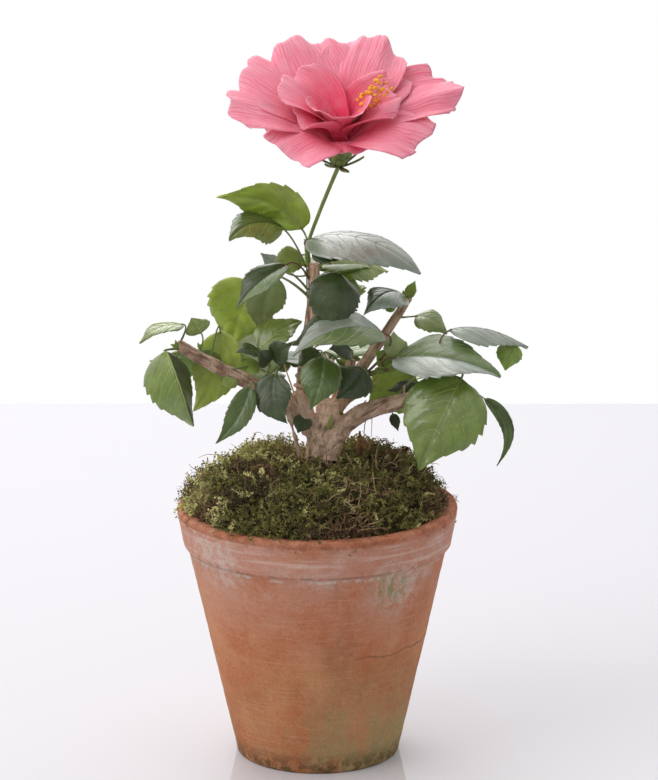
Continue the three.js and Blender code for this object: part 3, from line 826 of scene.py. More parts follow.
class HIBISCUS_OT_pot(bpy.types.Operator):
    """Turn the clay pot, with its collar, its lip and its drain holes"""

    bl_idname = "hibiscus.pot"
    bl_label = "Pot"

    segments = 192

    def execute(self, context):
        wanted = context.scene.hibiscus.pot
        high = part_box("pot")[1]
        profile = self.profile(wanted, high.x, high.z)
        mesh = self.drilled(self.turned(wanted, profile, high.z))
        mesh.materials.clear()
        mesh.materials.append(self.clay(wanted, high.z))
        show("pot_clay", mesh, "clay", "pot")
        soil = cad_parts["soil"]
        soil.data.materials.clear()
        soil.data.materials.append(
            crumbly("potting soil", 3 * MM, 1.5 * MM, 0.65, "241A12", "4B3828"))
        return {"FINISHED"}

    def profile(self, wanted, rim, height):
        """Radius and height along the section: underside, wall, collar, lip, inside, floor."""
        collar = height - wanted.collar_height
        foot, step = wanted.foot_radius, wanted.collar_step
        lip_in = rim - 8.5 * MM

        def inside(z):
            return foot + (wanted.wall_top_radius - foot) * z / collar - wanted.wall

        def line(start, end, count):
            t = np.linspace(0, 1, count, endpoint=False)[:, None]
            return np.asarray(start) + (np.asarray(end) - np.asarray(start)) * t

        def arc(centre, radius, start, end, count):
            a = np.radians(np.linspace(start, end, count, endpoint=False))[:, None]
            return np.asarray(centre) + radius * np.hstack([np.cos(a), np.sin(a)])

        round_foot, lip = 1.6 * MM, 2.4 * MM
        under = wanted.wall_top_radius
        return np.concatenate([
            line((4 * MM, 0), (foot - round_foot, 0), 12),
            arc((foot - round_foot, round_foot), round_foot, -90, 0, 5),
            line((foot, round_foot), (under - 0.6 * MM, collar - 4 * MM), 70),
            line((under - 0.6 * MM, collar - 4 * MM), (under + 0.5 * MM, collar - 1.6 * MM), 5),
            line((under + 0.5 * MM, collar - 1.6 * MM), (under + step - 1.2 * MM, collar), 4),
            arc((under + step - 1.2 * MM, collar + 1.2 * MM), 1.2 * MM, -90, 0, 5),
            line((under + step, collar + 1.4 * MM), (rim - 0.5 * MM, height - 5.6 * MM), 18),
            line((rim - 0.5 * MM, height - 5.6 * MM), (rim - 0.8 * MM, height - 4.6 * MM), 3),
            line((rim - 0.8 * MM, height - 4.6 * MM), (rim - 0.2 * MM, height - 3.6 * MM), 3),
            arc((rim - lip, height - lip), lip, 0, 90, 8),
            line((rim - lip, height), (lip_in + lip, height), 4),
            arc((lip_in + lip, height - lip), lip, 90, 180, 7),
            line((lip_in, height - lip), (inside(collar), collar), 8),
            line((inside(collar), collar), (inside(13 * MM), 13 * MM), 20),
            line((inside(13 * MM), 13 * MM), (inside(FLOOR) - 3 * MM, FLOOR), 3),
            line((inside(FLOOR) - 3 * MM, FLOOR), (4 * MM, FLOOR), 12),
            [(4 * MM, FLOOR)],
        ])

    def turned(self, wanted, profile, height):
        angle = np.linspace(0, 2 * math.pi, self.segments, endpoint=False)
        radius, z = profile[:, 0][:, None], profile[:, 1][:, None]
        ring = np.stack([np.cos(angle), np.sin(angle)], -1)
        flat = np.concatenate([
            ring[None] * radius[..., None],
            np.broadcast_to(z, (len(profile), self.segments))[..., None],
        ], -1).reshape(-1, 3)
        rise = np.repeat(profile[:, 1], self.segments) / height
        outer = np.repeat(np.arange(len(profile)) < OUTSIDE, self.segments)
        around = np.tile(angle, len(profile))
        stray = wanted.wobble * (
            0.8 * np.sin(2 * around + 0.6) * rise**2 + 0.4 * np.sin(3 * around + 2 + 2 * rise)
            + 0.35 * lumps(flat, 38 * MM, 3) + 0.18 * lumps(flat * [1, 1, 3.2], 15 * MM, 4)
        )
        rings = 0.07 * MM * np.sin(rise * 96 + 1.2 * np.sin(around + rise * 9)) * np.sin(rise * 31)
        for azimuth, z_at, width, depth in NICKS:
            a = math.radians(azimuth)
            spot = np.array([math.cos(a), math.sin(a)])
            wall = wanted.foot_radius + (wanted.wall_top_radius - wanted.foot_radius) * (
                z_at * MM / (height - wanted.collar_height)
            )
            gap = np.linalg.norm(flat - [*(spot * wall), z_at * MM], axis=1)
            stray = stray - depth * MM * bell(gap, width * MM) * outer
        ways = np.stack([np.cos(around), np.sin(around), np.zeros_like(around)], -1)
        points = flat + ways * ((stray + rings) * smooth(rise, 0.004, 0.05))[:, None]
        tilt = 0.55 * MM * np.sin(around + 2.3) + 0.35 * MM * np.sin(2 * around + 1.0)
        points[:, 2] += tilt * smooth(rise, 0.75, 1.0) * outer
        faces = grid_faces(len(profile), self.segments, closed=True)
        ends = np.array([
            np.arange(self.segments)[::-1],
            np.arange(self.segments) + (len(profile) - 1) * self.segments,
        ])
        heap = Heap()
        heap.add(points, [faces, ends])
        return heap.mesh("pot_clay", [])

    def drilled(self, mesh):
        """The pot with its drain holes cut through the floor."""
        holder = held("pot_blank", mesh)
        cutter = bmesh.new()
        for i in range(DRAIN_HOLES):
            place = heading(360 * (i + 0.5) / DRAIN_HOLES, 0) * DRAIN_CIRCLE + UP * FLOOR / 2
            made = bmesh.ops.create_cone(
                cutter, cap_ends=True, segments=24, radius1=DRAIN_RADIUS, radius2=DRAIN_RADIUS,
                depth=30 * MM,
            )
            bmesh.ops.translate(cutter, verts=made["verts"], vec=place)
        tool = held("drill", written("drill", cutter))
        cut = holder.modifiers.new("drain", "BOOLEAN")
        cut.operation, cut.object, cut.solver = "DIFFERENCE", tool, "EXACT"
        pot = baked("pot_clay", holder, smooth=False)
        drop(tool)
        return pot

    def clay(self, wanted, height):
        """Warm clay, worn pink on the collar, with salt, algae, a damp foot and fine scratches."""
        f = Finish("old clay")
        x, _, z = f.axes()
        collar = height - wanted.collar_height
        grain = f.noise(1.7 * MM, 6.0, 0.75)
        mottle = f.noise(7 * MM, 5.0, 0.7)
        cloud = f.noise(38 * MM, 4.0, 0.6)
        streak = f.noise(22 * MM, 5.0, 0.65, stretch=(1.0, 1.0, 0.25))
        brushed = f.noise(4 * MM, 4.0, 0.65, stretch=(0.15, 0.15, 3.0))
        f.base = f.mix(f.ramp(cloud, 0.32, 0.7), wanted.clay, "CC9067")
        f.coat("9A6440", 0.6, f.ramp(streak, 0.45, 0.75))
        f.coat("C99673", 0.4, f.ramp(mottle, 0.5, 0.72))
        f.coat("DBA886", 0.3, f.ramp(brushed, 0.5, 0.7))
        upper = f.times(f.ramp(z, collar - 66 * MM, collar - 4 * MM), f.ramp(cloud, 0.25, 0.6))
        f.coat(wanted.pale, 0.7, upper)
        self.wear_collar(f, wanted, z, mottle, height)
        self.stain(f, wanted, x, z, collar)
        f.coat("7E5034", 0.4, f.ramp(grain, 0.52, 0.7))
        f.coat("DDB493", 0.3, f.ramp(grain, 0.46, 0.32))
        f.coat("5A3A26", 0.5, f.ramp(f.spots(5.2 * MM), 0.1, 0.04))
        fine = f.sum("ADD", grain, f.times(f.noise(0.8 * MM, 2.0), 0.4))
        f.bump(f.sum("ADD", fine, f.times(brushed, 0.4)), 0.45 * MM, 0.8)
        return f.set(f.base, f.ramp(cloud, -0.9, 1.0), specular=0.22)

    def wear_collar(self, f, wanted, z, mottle, height):
        """Pale bands and salt round the collar, salt and a painted highlight just under it, a dark
        line of painted shade under its edge, and a worn, dirty lip.
        """
        collar = height - wanted.collar_height
        on_collar = f.ramp(z, collar - MM, collar + MM)
        patchy = f.noise(17 * MM, 5.0, 0.7, stretch=(0.6, 0.6, 1.6))
        f.coat(wanted.pale, 0.75, on_collar, f.ramp(patchy, 0.32, 0.62))
        lines = f.noise(6 * MM, 4.0, 0.6, stretch=(0.12, 0.12, 2.2))
        f.coat("E0C2B4", 0.55, on_collar, f.ramp(lines, 0.5, 0.66))
        haze = f.times(
            f.ramp(f.noise(11 * MM, 6.0, 0.75, stretch=(0.7, 0.7, 1.0)), 0.45, 0.72),
            f.band(z, collar - 26 * MM, collar - 6 * MM, height - 9 * MM, height - 3 * MM),
        )
        f.coat(wanted.salt, 0.45, haze)
        for place, reach, swell, strength in (
            ((-58, -50, 7), 30, 5, 0.75), ((46, -56, -9), 28, 4, 0.65),
            ((-20, 78, -4), 40, 5, 0.6), ((79, 10, 4), 30, 5, 0.5),
        ):
            place = np.array(place) * MM + UP * collar
            patch = f.times(f.near(place, reach * MM, 0.2),
                            f.ramp(f.noise(swell * MM, 6.0, 0.75), 0.4, 0.62))
            f.coat(wanted.salt, strength, patch)
        # Whitish band on the flare just under the collar's edge: partly salt crust, partly a painted
        # highlight.
        under_collar = f.band(z, collar - 4 * MM, collar - 2.4 * MM, collar - MM, collar + 0.2 * MM)
        f.coat(wanted.salt, 0.8, under_collar, f.ramp(f.noise(7 * MM, 5.0, 0.7), 0.46, 0.62))
        # Dark line at the collar's lower edge, broken up by the mottle: painted shade under the
        # collar's overhang.
        edge = f.band(z, collar - 2 * MM, collar - 0.4 * MM, collar + 0.6 * MM, collar + 1.6 * MM)
        f.coat("7A4A34", 0.5, edge, f.ramp(mottle, 0.4, 0.6))
        lip = f.ramp(z, height - 4.6 * MM, height - 3.4 * MM)
        worn = f.mix(f.ramp(f.noise(8 * MM, 5.0, 0.7), 0.35, 0.65), "A8603F", "BD7F63")
        f.coat(worn, 0.85, lip)
        dirt = f.times(f.ramp(z, height - 8 * MM, height - 4.5 * MM), f.ramp(mottle, 0.45, 0.6))
        f.coat("7B4E38", 0.35, dirt)

    def stain(self, f, wanted, x, z, collar):
        """Algae and ochre low on the right, a green drip, a hairline crack and the damp foot."""
        low = f.ramp(z, 84 * MM, 6 * MM)
        side = f.ramp(x, -24 * MM, 30 * MM)
        algae = f.times(f.ramp(f.noise(15 * MM, 6.0, 0.72, stretch=(1, 1, 0.5)), 0.34, 0.64),
                        f.times(low, f.sum("ADD", f.times(side, 0.9), 0.35)))
        f.coat(wanted.algae, 0.9, algae)
        ochre = f.times(f.times(low, side), f.ramp(f.noise(4 * MM, 6.0, 0.75), 0.45, 0.65))
        f.coat("B59A62", 0.5, ochre)
        stripe = f.times(
            f.near((41 * MM, -60 * MM, collar - 9 * MM), 18 * MM, 0.1),
            f.ramp(f.noise(5 * MM, 5.0, 0.7, stretch=(1.0, 1.0, 0.3)), 0.42, 0.58),
        )
        f.coat("7F8A50", 0.75, stripe)
        level = f.sum("ADD", z, f.times(f.noise(16 * MM, 2.0), 6 * MM))
        line = f.band(level, 74.2 * MM, 74.8 * MM, 75.4 * MM, 76.0 * MM)
        f.coat("8A5A44", 0.6, f.times(line, f.ramp(x, 16 * MM, 26 * MM)))
        damp = f.times(f.ramp(z, 15 * MM, 2 * MM), f.ramp(f.noise(6 * MM, 5.0, 0.75), 0.36, 0.58))
        f.coat(wanted.damp, 0.85, damp)


# ------------------------------------------------------------------ moss


HOLE_RINGS = 10
TUFTS = 120
TUFT_TONES = ("bright", "green", "olive", "brown")
# Where a tone gathers: its azimuth, its share of the radius, the patch's width in mm and weight.
# The strongest bright patches lie at the back left and back right, where their pale tips are painted
# backlight as well as fresh growth.
PATCHES = (
    ("bright", 128, 0.6, 26, 4.0), ("bright", 58, 0.62, 24, 3.4), ("bright", -160, 0.85, 15, 1.2),
    ("green", -112, 0.92, 17, 2.2), ("brown", -68, 0.75, 22, 2.2), ("brown", -22, 0.6, 26, 2.4),
    ("brown", -160, 0.3, 14, 1.5), ("olive", -90, 0.4, 30, 1.2), ("green", -130, 0.6, 30, 1.4),
    ("green", -40, 0.95, 22, 1.0), ("brown", 20, 0.85, 18, 1.2), ("olive", 10, 0.5, 26, 1.4),
)


class HIBISCUS_OT_moss(bpy.types.Operator):
    """Lay the mound of moss: dark ground, then sprigs of four tones"""

    bl_idname = "hibiscus.moss"
    bl_label = "Moss"

    rings = 74
    segments = 216

    def execute(self, context):
        wanted = context.scene.hibiscus.moss
        self.tufts()
        ground = self.ground()
        tree = scatter_tree()
        shares = {"bright": 0.22, "green": 0.29, "olive": 0.25, "brown": 0.24}
        longer = {"bright": 1.6, "green": 1.35, "olive": 1.0, "brown": 1.3}
        area = math.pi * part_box("moss")[1].x ** 2
        outward = np.linalg.norm(coordinates(ground)[:, :2], axis=1)
        owner, depth = self.owner(coordinates(ground))
        for seed, (tone, part) in enumerate(shares.items(), start=11):
            mine = np.array([self.tones[i] == tone for i in owner])
            stray = 0.03 if tone == "bright" else 0.12
            weight = np.where(mine, 1.0, stray) * (0.06 + 0.94 * depth) * self.open_top(ground)
            mesh = ground.copy()
            give(mesh, "patch", weight)
            sprig = self.sprig(f"sprig_{tone}", seed, leafy=tone != "brown")
            reach = wanted.sprig_length * longer[tone]
            mean = (weight * outward).sum() / outward.sum()
            made = run_tree(f"moss_{tone}", tree, mesh, {
                "Sprig": sprig, "Density": wanted.sprigs * part / (area * mean),
                "Seed": seed, "Smallest": reach * 0.5, "Largest": reach * 1.5,
                "Lean": 1.15 if tone != "brown" else 1.5,
                "Finish": self.fibre(tone, getattr(wanted, tone)),
            })
            show(f"moss_{tone}", made, "moss")
            drop(sprig)
        # Dark crumbly ground, left bare where sprigs thin out in the creases: dark soil, and painted
        # shade between the cushions.
        ground.materials.clear()
        ground.materials.append(
            crumbly("moss ground", 2.4 * MM, 1.6 * MM, 0.7, wanted.depth, "4A4422"))
        show("moss_ground", ground, "moss", "moss")
        self.litter(coordinates(ground))
        return {"FINISHED"}

    def tufts(self):
        """Cushions scattered over the mound: place, radius, height and tone of each."""
        rng = np.random.default_rng(17)
        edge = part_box("moss")[1].x
        places = []
        while len(places) < TUFTS:
            spot = rng.uniform(-edge, edge, 2)
            gaps = [np.linalg.norm(spot - other) for other in places]
            if np.linalg.norm(spot) < edge * 0.99 and min(gaps, default=1) > 6.5 * MM:
                places.append(spot)
        self.places = np.array(places)
        self.radii = rng.uniform(8, 14, TUFTS) * MM
        self.tall = rng.uniform(5, 12.5, TUFTS) * MM
        self.tones = []
        for spot in places:
            weight = {"bright": 0.1, "green": 0.45, "olive": 0.4, "brown": 0.3}
            for tone, azimuth, out, width, gain in PATCHES:
                centre = heading(azimuth, 0)[:2] * out * edge
                weight[tone] += gain * bell(np.linalg.norm(spot - centre), width * MM)
            chances = np.array([weight[tone] for tone in TUFT_TONES])
            self.tones.append(rng.choice(TUFT_TONES, p=chances / chances.sum()))

    def swells(self, points):
        """Each cushion's height over each point, as a dome that ends in a crease."""
        gaps = np.linalg.norm(points[:, None, :2] - self.places[None], axis=2)
        return self.tall * np.sqrt(np.clip(1 - (gaps / self.radii) ** 2, 0, 1))

    def owner(self, points):
        swells = self.swells(points)
        return swells.argmax(1), np.clip(swells.max(1) / (6 * MM), 0, 1)

    def open_top(self, mesh):
        """1 on the mound's upper side, 0 under the lip and against the trunk."""
        points = coordinates(mesh)
        reach = np.linalg.norm(points[:, :2], axis=1)
        top = points[:, 2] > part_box("pot")[1].z - 3 * MM
        return top * (reach > 7 * MM) * 1.0

    def ground(self):
        """The mound's own surface: read off the frame, evened, then swollen into cushions."""
        share_out = np.linspace(0, 1, self.rings)
        angle = np.linspace(0, 2 * math.pi, self.segments, endpoint=False)
        heights = self.evened(self.measured(share_out, angle))
        radius = share_out[:, None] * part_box("moss")[1].x
        points = np.stack([radius * np.cos(angle), radius * np.sin(angle), heights], -1)
        points = points.reshape(-1, 3)
        self.cushion(points, share_out, angle)
        return self.closed(points, angle)

    def measured(self, share_out, angle):
        """The mound's height at each station, found from above."""
        bare = frame_mesh("moss")
        tree = BVHTree.FromBMesh(bare)
        bare.free()
        low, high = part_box("moss")
        heights = np.zeros((self.rings, self.segments))
        for i, s in enumerate(share_out):
            reach = min(s, 0.985) * high.x
            for j, a in enumerate(angle):
                above = Vector((reach * math.cos(a), reach * math.sin(a), high.z + 0.05))
                hit = tree.ray_cast(above, Vector((0, 0, -1)))[0]
                heights[i, j] = hit.z if hit else low.z
        return heights

    def evened(self, heights):
        """The heights without the trunk's hole, eased into their neighbours."""
        just_outside = heights[HOLE_RINGS + 2].mean() - 1 * MM
        heights[:HOLE_RINGS] = np.maximum(heights[:HOLE_RINGS], just_outside)
        for _ in range(6):
            inner = np.vstack([heights[:1].mean() * np.ones((1, self.segments)), heights[:-1]])
            outer = np.vstack([heights[1:], heights[-1:]])
            heights = (
                heights * 2 + inner + outer + np.roll(heights, 1, 1) + np.roll(heights, -1, 1)
            ) / 6
        heights[0] = heights[0].mean()
        return heights

    def cushion(self, points, share_out, angle):
        """Raise the cushions, sink the moss behind the trunk, and hang it over the left lip."""
        outer = np.repeat(smooth(share_out, 0.8, 0.97), self.segments)
        points[:, 2] = np.maximum(points[:, 2], outer * (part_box("pot")[1].z - 0.5 * MM))
        fade = np.repeat(smooth(1 - share_out, 0, 0.06), self.segments)
        rough = self.swells(points).max(1) + 0.8 * MM * lumps(points, 5 * MM, 6) - 9.0 * MM
        behind = smooth(points[:, 1], 2 * MM, 26 * MM)
        rough -= behind * (4.5 * MM + 7 * MM * bell(points[:, 0] + 2 * MM, 15 * MM))
        points[:, 2] += rough * fade
        points[: self.segments, 2] = points[: self.segments, 2].mean()
        lean = np.tile(0.5 - 0.5 * np.cos(angle), self.rings)
        over = np.repeat(smooth(share_out, 0.9, 1), self.segments) * lean
        over = over * (1.6 + 0.9 * lumps(points, 9 * MM, 15)).clip(0.2)
        points[:, :2] += unit(points[:, :2] + 1e-6) * (over * 1.7 * MM)[:, None]
        points[:, 2] += over * 1.1 * MM

    def closed(self, points, angle):
        """The surface as a closed mesh, with a wall inside the lip and a flat bottom."""
        low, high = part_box("moss")
        rings = [points]
        for radius, z in ((high.x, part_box("pot")[1].z - 5 * MM), (high.x - 5 * MM, low.z)):
            rings.append(np.stack([radius * np.cos(angle), radius * np.sin(angle),
                                   np.full(self.segments, z)], -1))
        faces = grid_faces(self.rings + 2, self.segments, closed=True)
        bottom = np.arange(self.segments) + (self.rings + 1) * self.segments
        heap = Heap()
        heap.add(np.concatenate(rings), [faces[:, ::-1], bottom[None]])
        mesh = heap.mesh("moss_ground", [])
        merged = bmesh.new()
        merged.from_mesh(mesh)
        bmesh.ops.remove_doubles(merged, verts=merged.verts, dist=0.02 * MM)
        bmesh.ops.recalc_face_normals(merged, faces=merged.faces)
        merged.to_mesh(mesh)
        merged.free()
        return mesh

    def sprig(self, name, seed, leafy):
        """A feather-like frond one unit long that curls over, or a bare wiry strand."""
        rng = np.random.default_rng(seed)
        heap = Heap()
        z = np.linspace(0, 1, 4)
        lean = 0.62 if leafy else 0.8
        path = np.stack([lean * z**2, 0.2 * np.sin(3.2 * z), z - 0.36 * z**2.5], -1)
        heap.add(*tube(path, np.linspace(0.034, 0.014, 4), sides=3))
        pairs = 6 if leafy else 2
        for i in range(pairs * 2):
            t = 0.1 + 0.88 * (i // 2) / max(pairs - 1, 1)
            at = np.array([np.interp(t, z, path[:, k]) for k in range(3)])
            ahead = np.array([np.interp(min(t + 0.08, 1), z, path[:, k]) for k in range(3)])
            along = unit(ahead - at + UP * 1e-4)
            side = unit(np.cross(along, [0.3, 0.1, 1.0])) * (1 if i % 2 else -1)
            way = unit(along * 0.8 + side + rng.normal(size=3) * 0.22)
            way = way * (0.3 * (1.1 - 0.7 * t) if leafy else 0.28)
            across = unit(np.cross(way, along)) * (0.065 if leafy else 0.03)
            mid = at + way * 0.4
            heap.add([at, mid + across, at + way, mid - across], np.array([[0, 1, 2, 3]]))
        return bpy.data.objects.new(name, heap.mesh(name, []))

    def litter(self, points):
        """What lies on the moss, whose points are given."""
        rng = np.random.default_rng(31)

        def top(x, y):
            return points[np.linalg.norm(points[:, :2] - [x, y], axis=1).argmin()]

        self.roots(top, rng)
        self.dead_leaf(top(26 * MM, -4 * MM) + UP * 2 * MM, rng)
        self.pellet(top(50 * MM, 17 * MM) + UP * 10 * MM)

    def roots(self, top, rng):
        """Dry roots and stalks, gathered here and there on the moss's top."""
        gather = (  # azimuth, share of the radius, spread in mm, how many, length in mm
            (-68, 0.86, 9, 46, 15), (-60, 0.55, 9, 22, 12), (-20, 0.6, 12, 26, 13),
            (140, 0.8, 16, 20, 16), (-165, 0.75, 14, 20, 14), (40, 0.8, 18, 18, 13),
            (-100, 0.4, 16, 18, 12), (90, 0.5, 30, 20, 13),
        )
        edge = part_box("moss")[1].x
        heap = Heap()
        for azimuth, out, spread, count, long in gather:
            for _ in range(count):
                spot = heading(azimuth, 0)[:2] * out * edge + rng.normal(size=2) * spread * MM
                spot = spot * min(1, 0.97 * edge / np.linalg.norm(spot))
                foot = top(*spot) + UP * rng.uniform(1.5, 6.5) * MM
                way = unit(np.append(rng.normal(size=2), rng.uniform(-0.1, 0.8)))
                end = foot + way * long * rng.uniform(0.5, 1.3) * MM
                turn = unit(np.cross(way, rng.normal(size=3)))
                path = bent(foot, end, rng.uniform(0.1, 0.3) * long * MM, turn, 9)
                wriggle = np.cumsum(rng.normal(size=(9, 3)), axis=0) * 0.25 * MM
                heap.add(*tube(path + wriggle, np.linspace(0.32, 0.12, 9) * MM, sides=5))
        show("dry_roots", heap.mesh("dry_roots", [self.dry("dry roots", "BE9F78")]), "moss")

    def dead_leaf(self, root, rng):
        """A dead leaf in two curled parts that stand up from one point."""
        settings = bpy.context.scene.hibiscus.leaf
        dead = Heap()
        for i, (side, rise) in enumerate(((-0.15, 1.0), (0.35, 0.9))):
            tip = root + unit(np.array([side, -0.1, rise])) * (15 - 5 * i) * MM
            blade = Blade(root - UP * MM, tip, (9 - 2 * i) * MM, heading(-70 + 60 * i, 10), 2 * MM,
                          1 * MM, 38, 0.2, rng, settings)
            add_blade(blade, [dead], [Heap()], settings.thickness)
        leaf = dead.mesh("dead_leaf", [self.dry("dead leaf", "A27C58")] * 2)
        show("dead_leaf", leaf, "moss")

    def pellet(self, place):
        """A dark, slightly uneven pellet, flatter than it is wide."""
        ball = bmesh.new()
        bmesh.ops.create_icosphere(ball, subdivisions=3, radius=2.6 * MM)
        mesh = written("pellet", ball)
        round_points = coordinates(mesh)
        swollen = round_points * (1 + 0.12 * lumps(round_points, 2.5 * MM, 3)[:, None])
        move_points(mesh, swollen * [1.1, 1.0, 0.85] + place)
        mesh.materials.append(self.dry("pellet", "3A2A20"))
        show("pellet", mesh, "moss")

    def dry(self, name, code):
        tint = srgb(code)
        return mottled(name, shaded(tint, 0.5), tint, 3 * MM, 0.65,
                       (0.8 * MM, 3.0, 0.55, 0.1 * MM, 1.0), 0.85, specular=0.15)

    def fibre(self, tone, tint):
        f = Finish(f"moss {tone}")
        f.base = f.mix(f.ramp(f.noise(3.5 * MM), 0.35, 0.68), shaded(tint, 0.4), tint)
        f.coat(shaded(tint, 1.55, 0.012), 0.8, f.ramp(f.noise(9 * MM), 0.5, 0.74))
        return f.set(f.base, 0.85, specular=0.2, sheen=0.15)


# ------------------------------------------------------------------ wood


WOOD = ("trunk", "leader", "bough_left", "bough_right_low", "bough_right_up", "bough_back",
        "bough_back_right", "bough_back_left", "stump_front", "stump_left", "stump_right",
        "shoot_left")
GREEN_WOOD = ("top_shoot", "flower_stalk", "shoot_right")
LEADER_LEAN = 0.087
# Bare twigs: start and end in mm from the middle of the trunk's top, and thickness in mm.
TWIGS = (
    ((19, -3, 4), (28, -5, 15), 0.8), ((30, -5, 8), (27, -8, -8), 0.4),
    ((33, -4, 7), (30, -6, -6), 0.3), ((24, 4, 8), (36, 6, 26), 0.6),
    ((-6, -3, 33), (-9, -5, 36), 2.4), ((-8, -3, 28), (-12, -6, 30), 2.4),
    ((-8, -3, 22), (-13, -6, 25), 2.2), ((10, 14, 20), (14, 26, 38), 0.7),
    ((-10, 16, 18), (-20, 24, 34), 0.6), ((20, 16, 12), (32, 22, 20), 0.6),
)


def limb_surface():
    """All limbs as one tree for finding the nearest point of wood."""
    joined = frame_mesh(*WOOD, *GREEN_WOOD)
    tree = BVHTree.FromBMesh(joined)
    joined.free()
    return tree


def trunk_level(end):
    """The point over the pot's middle level with the trunk's foot (0) or its top (1)."""
    return np.array([0.0, 0.0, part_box("trunk")[end].z])


def far_end(node, origin):
    """The middle of a limb's far end: the mean of its vertices that lie furthest away."""
    points = node_points(node)
    gaps = np.linalg.norm(points - origin, axis=1)
    return points[gaps > gaps.max() - 3.5 * MM].mean(0)


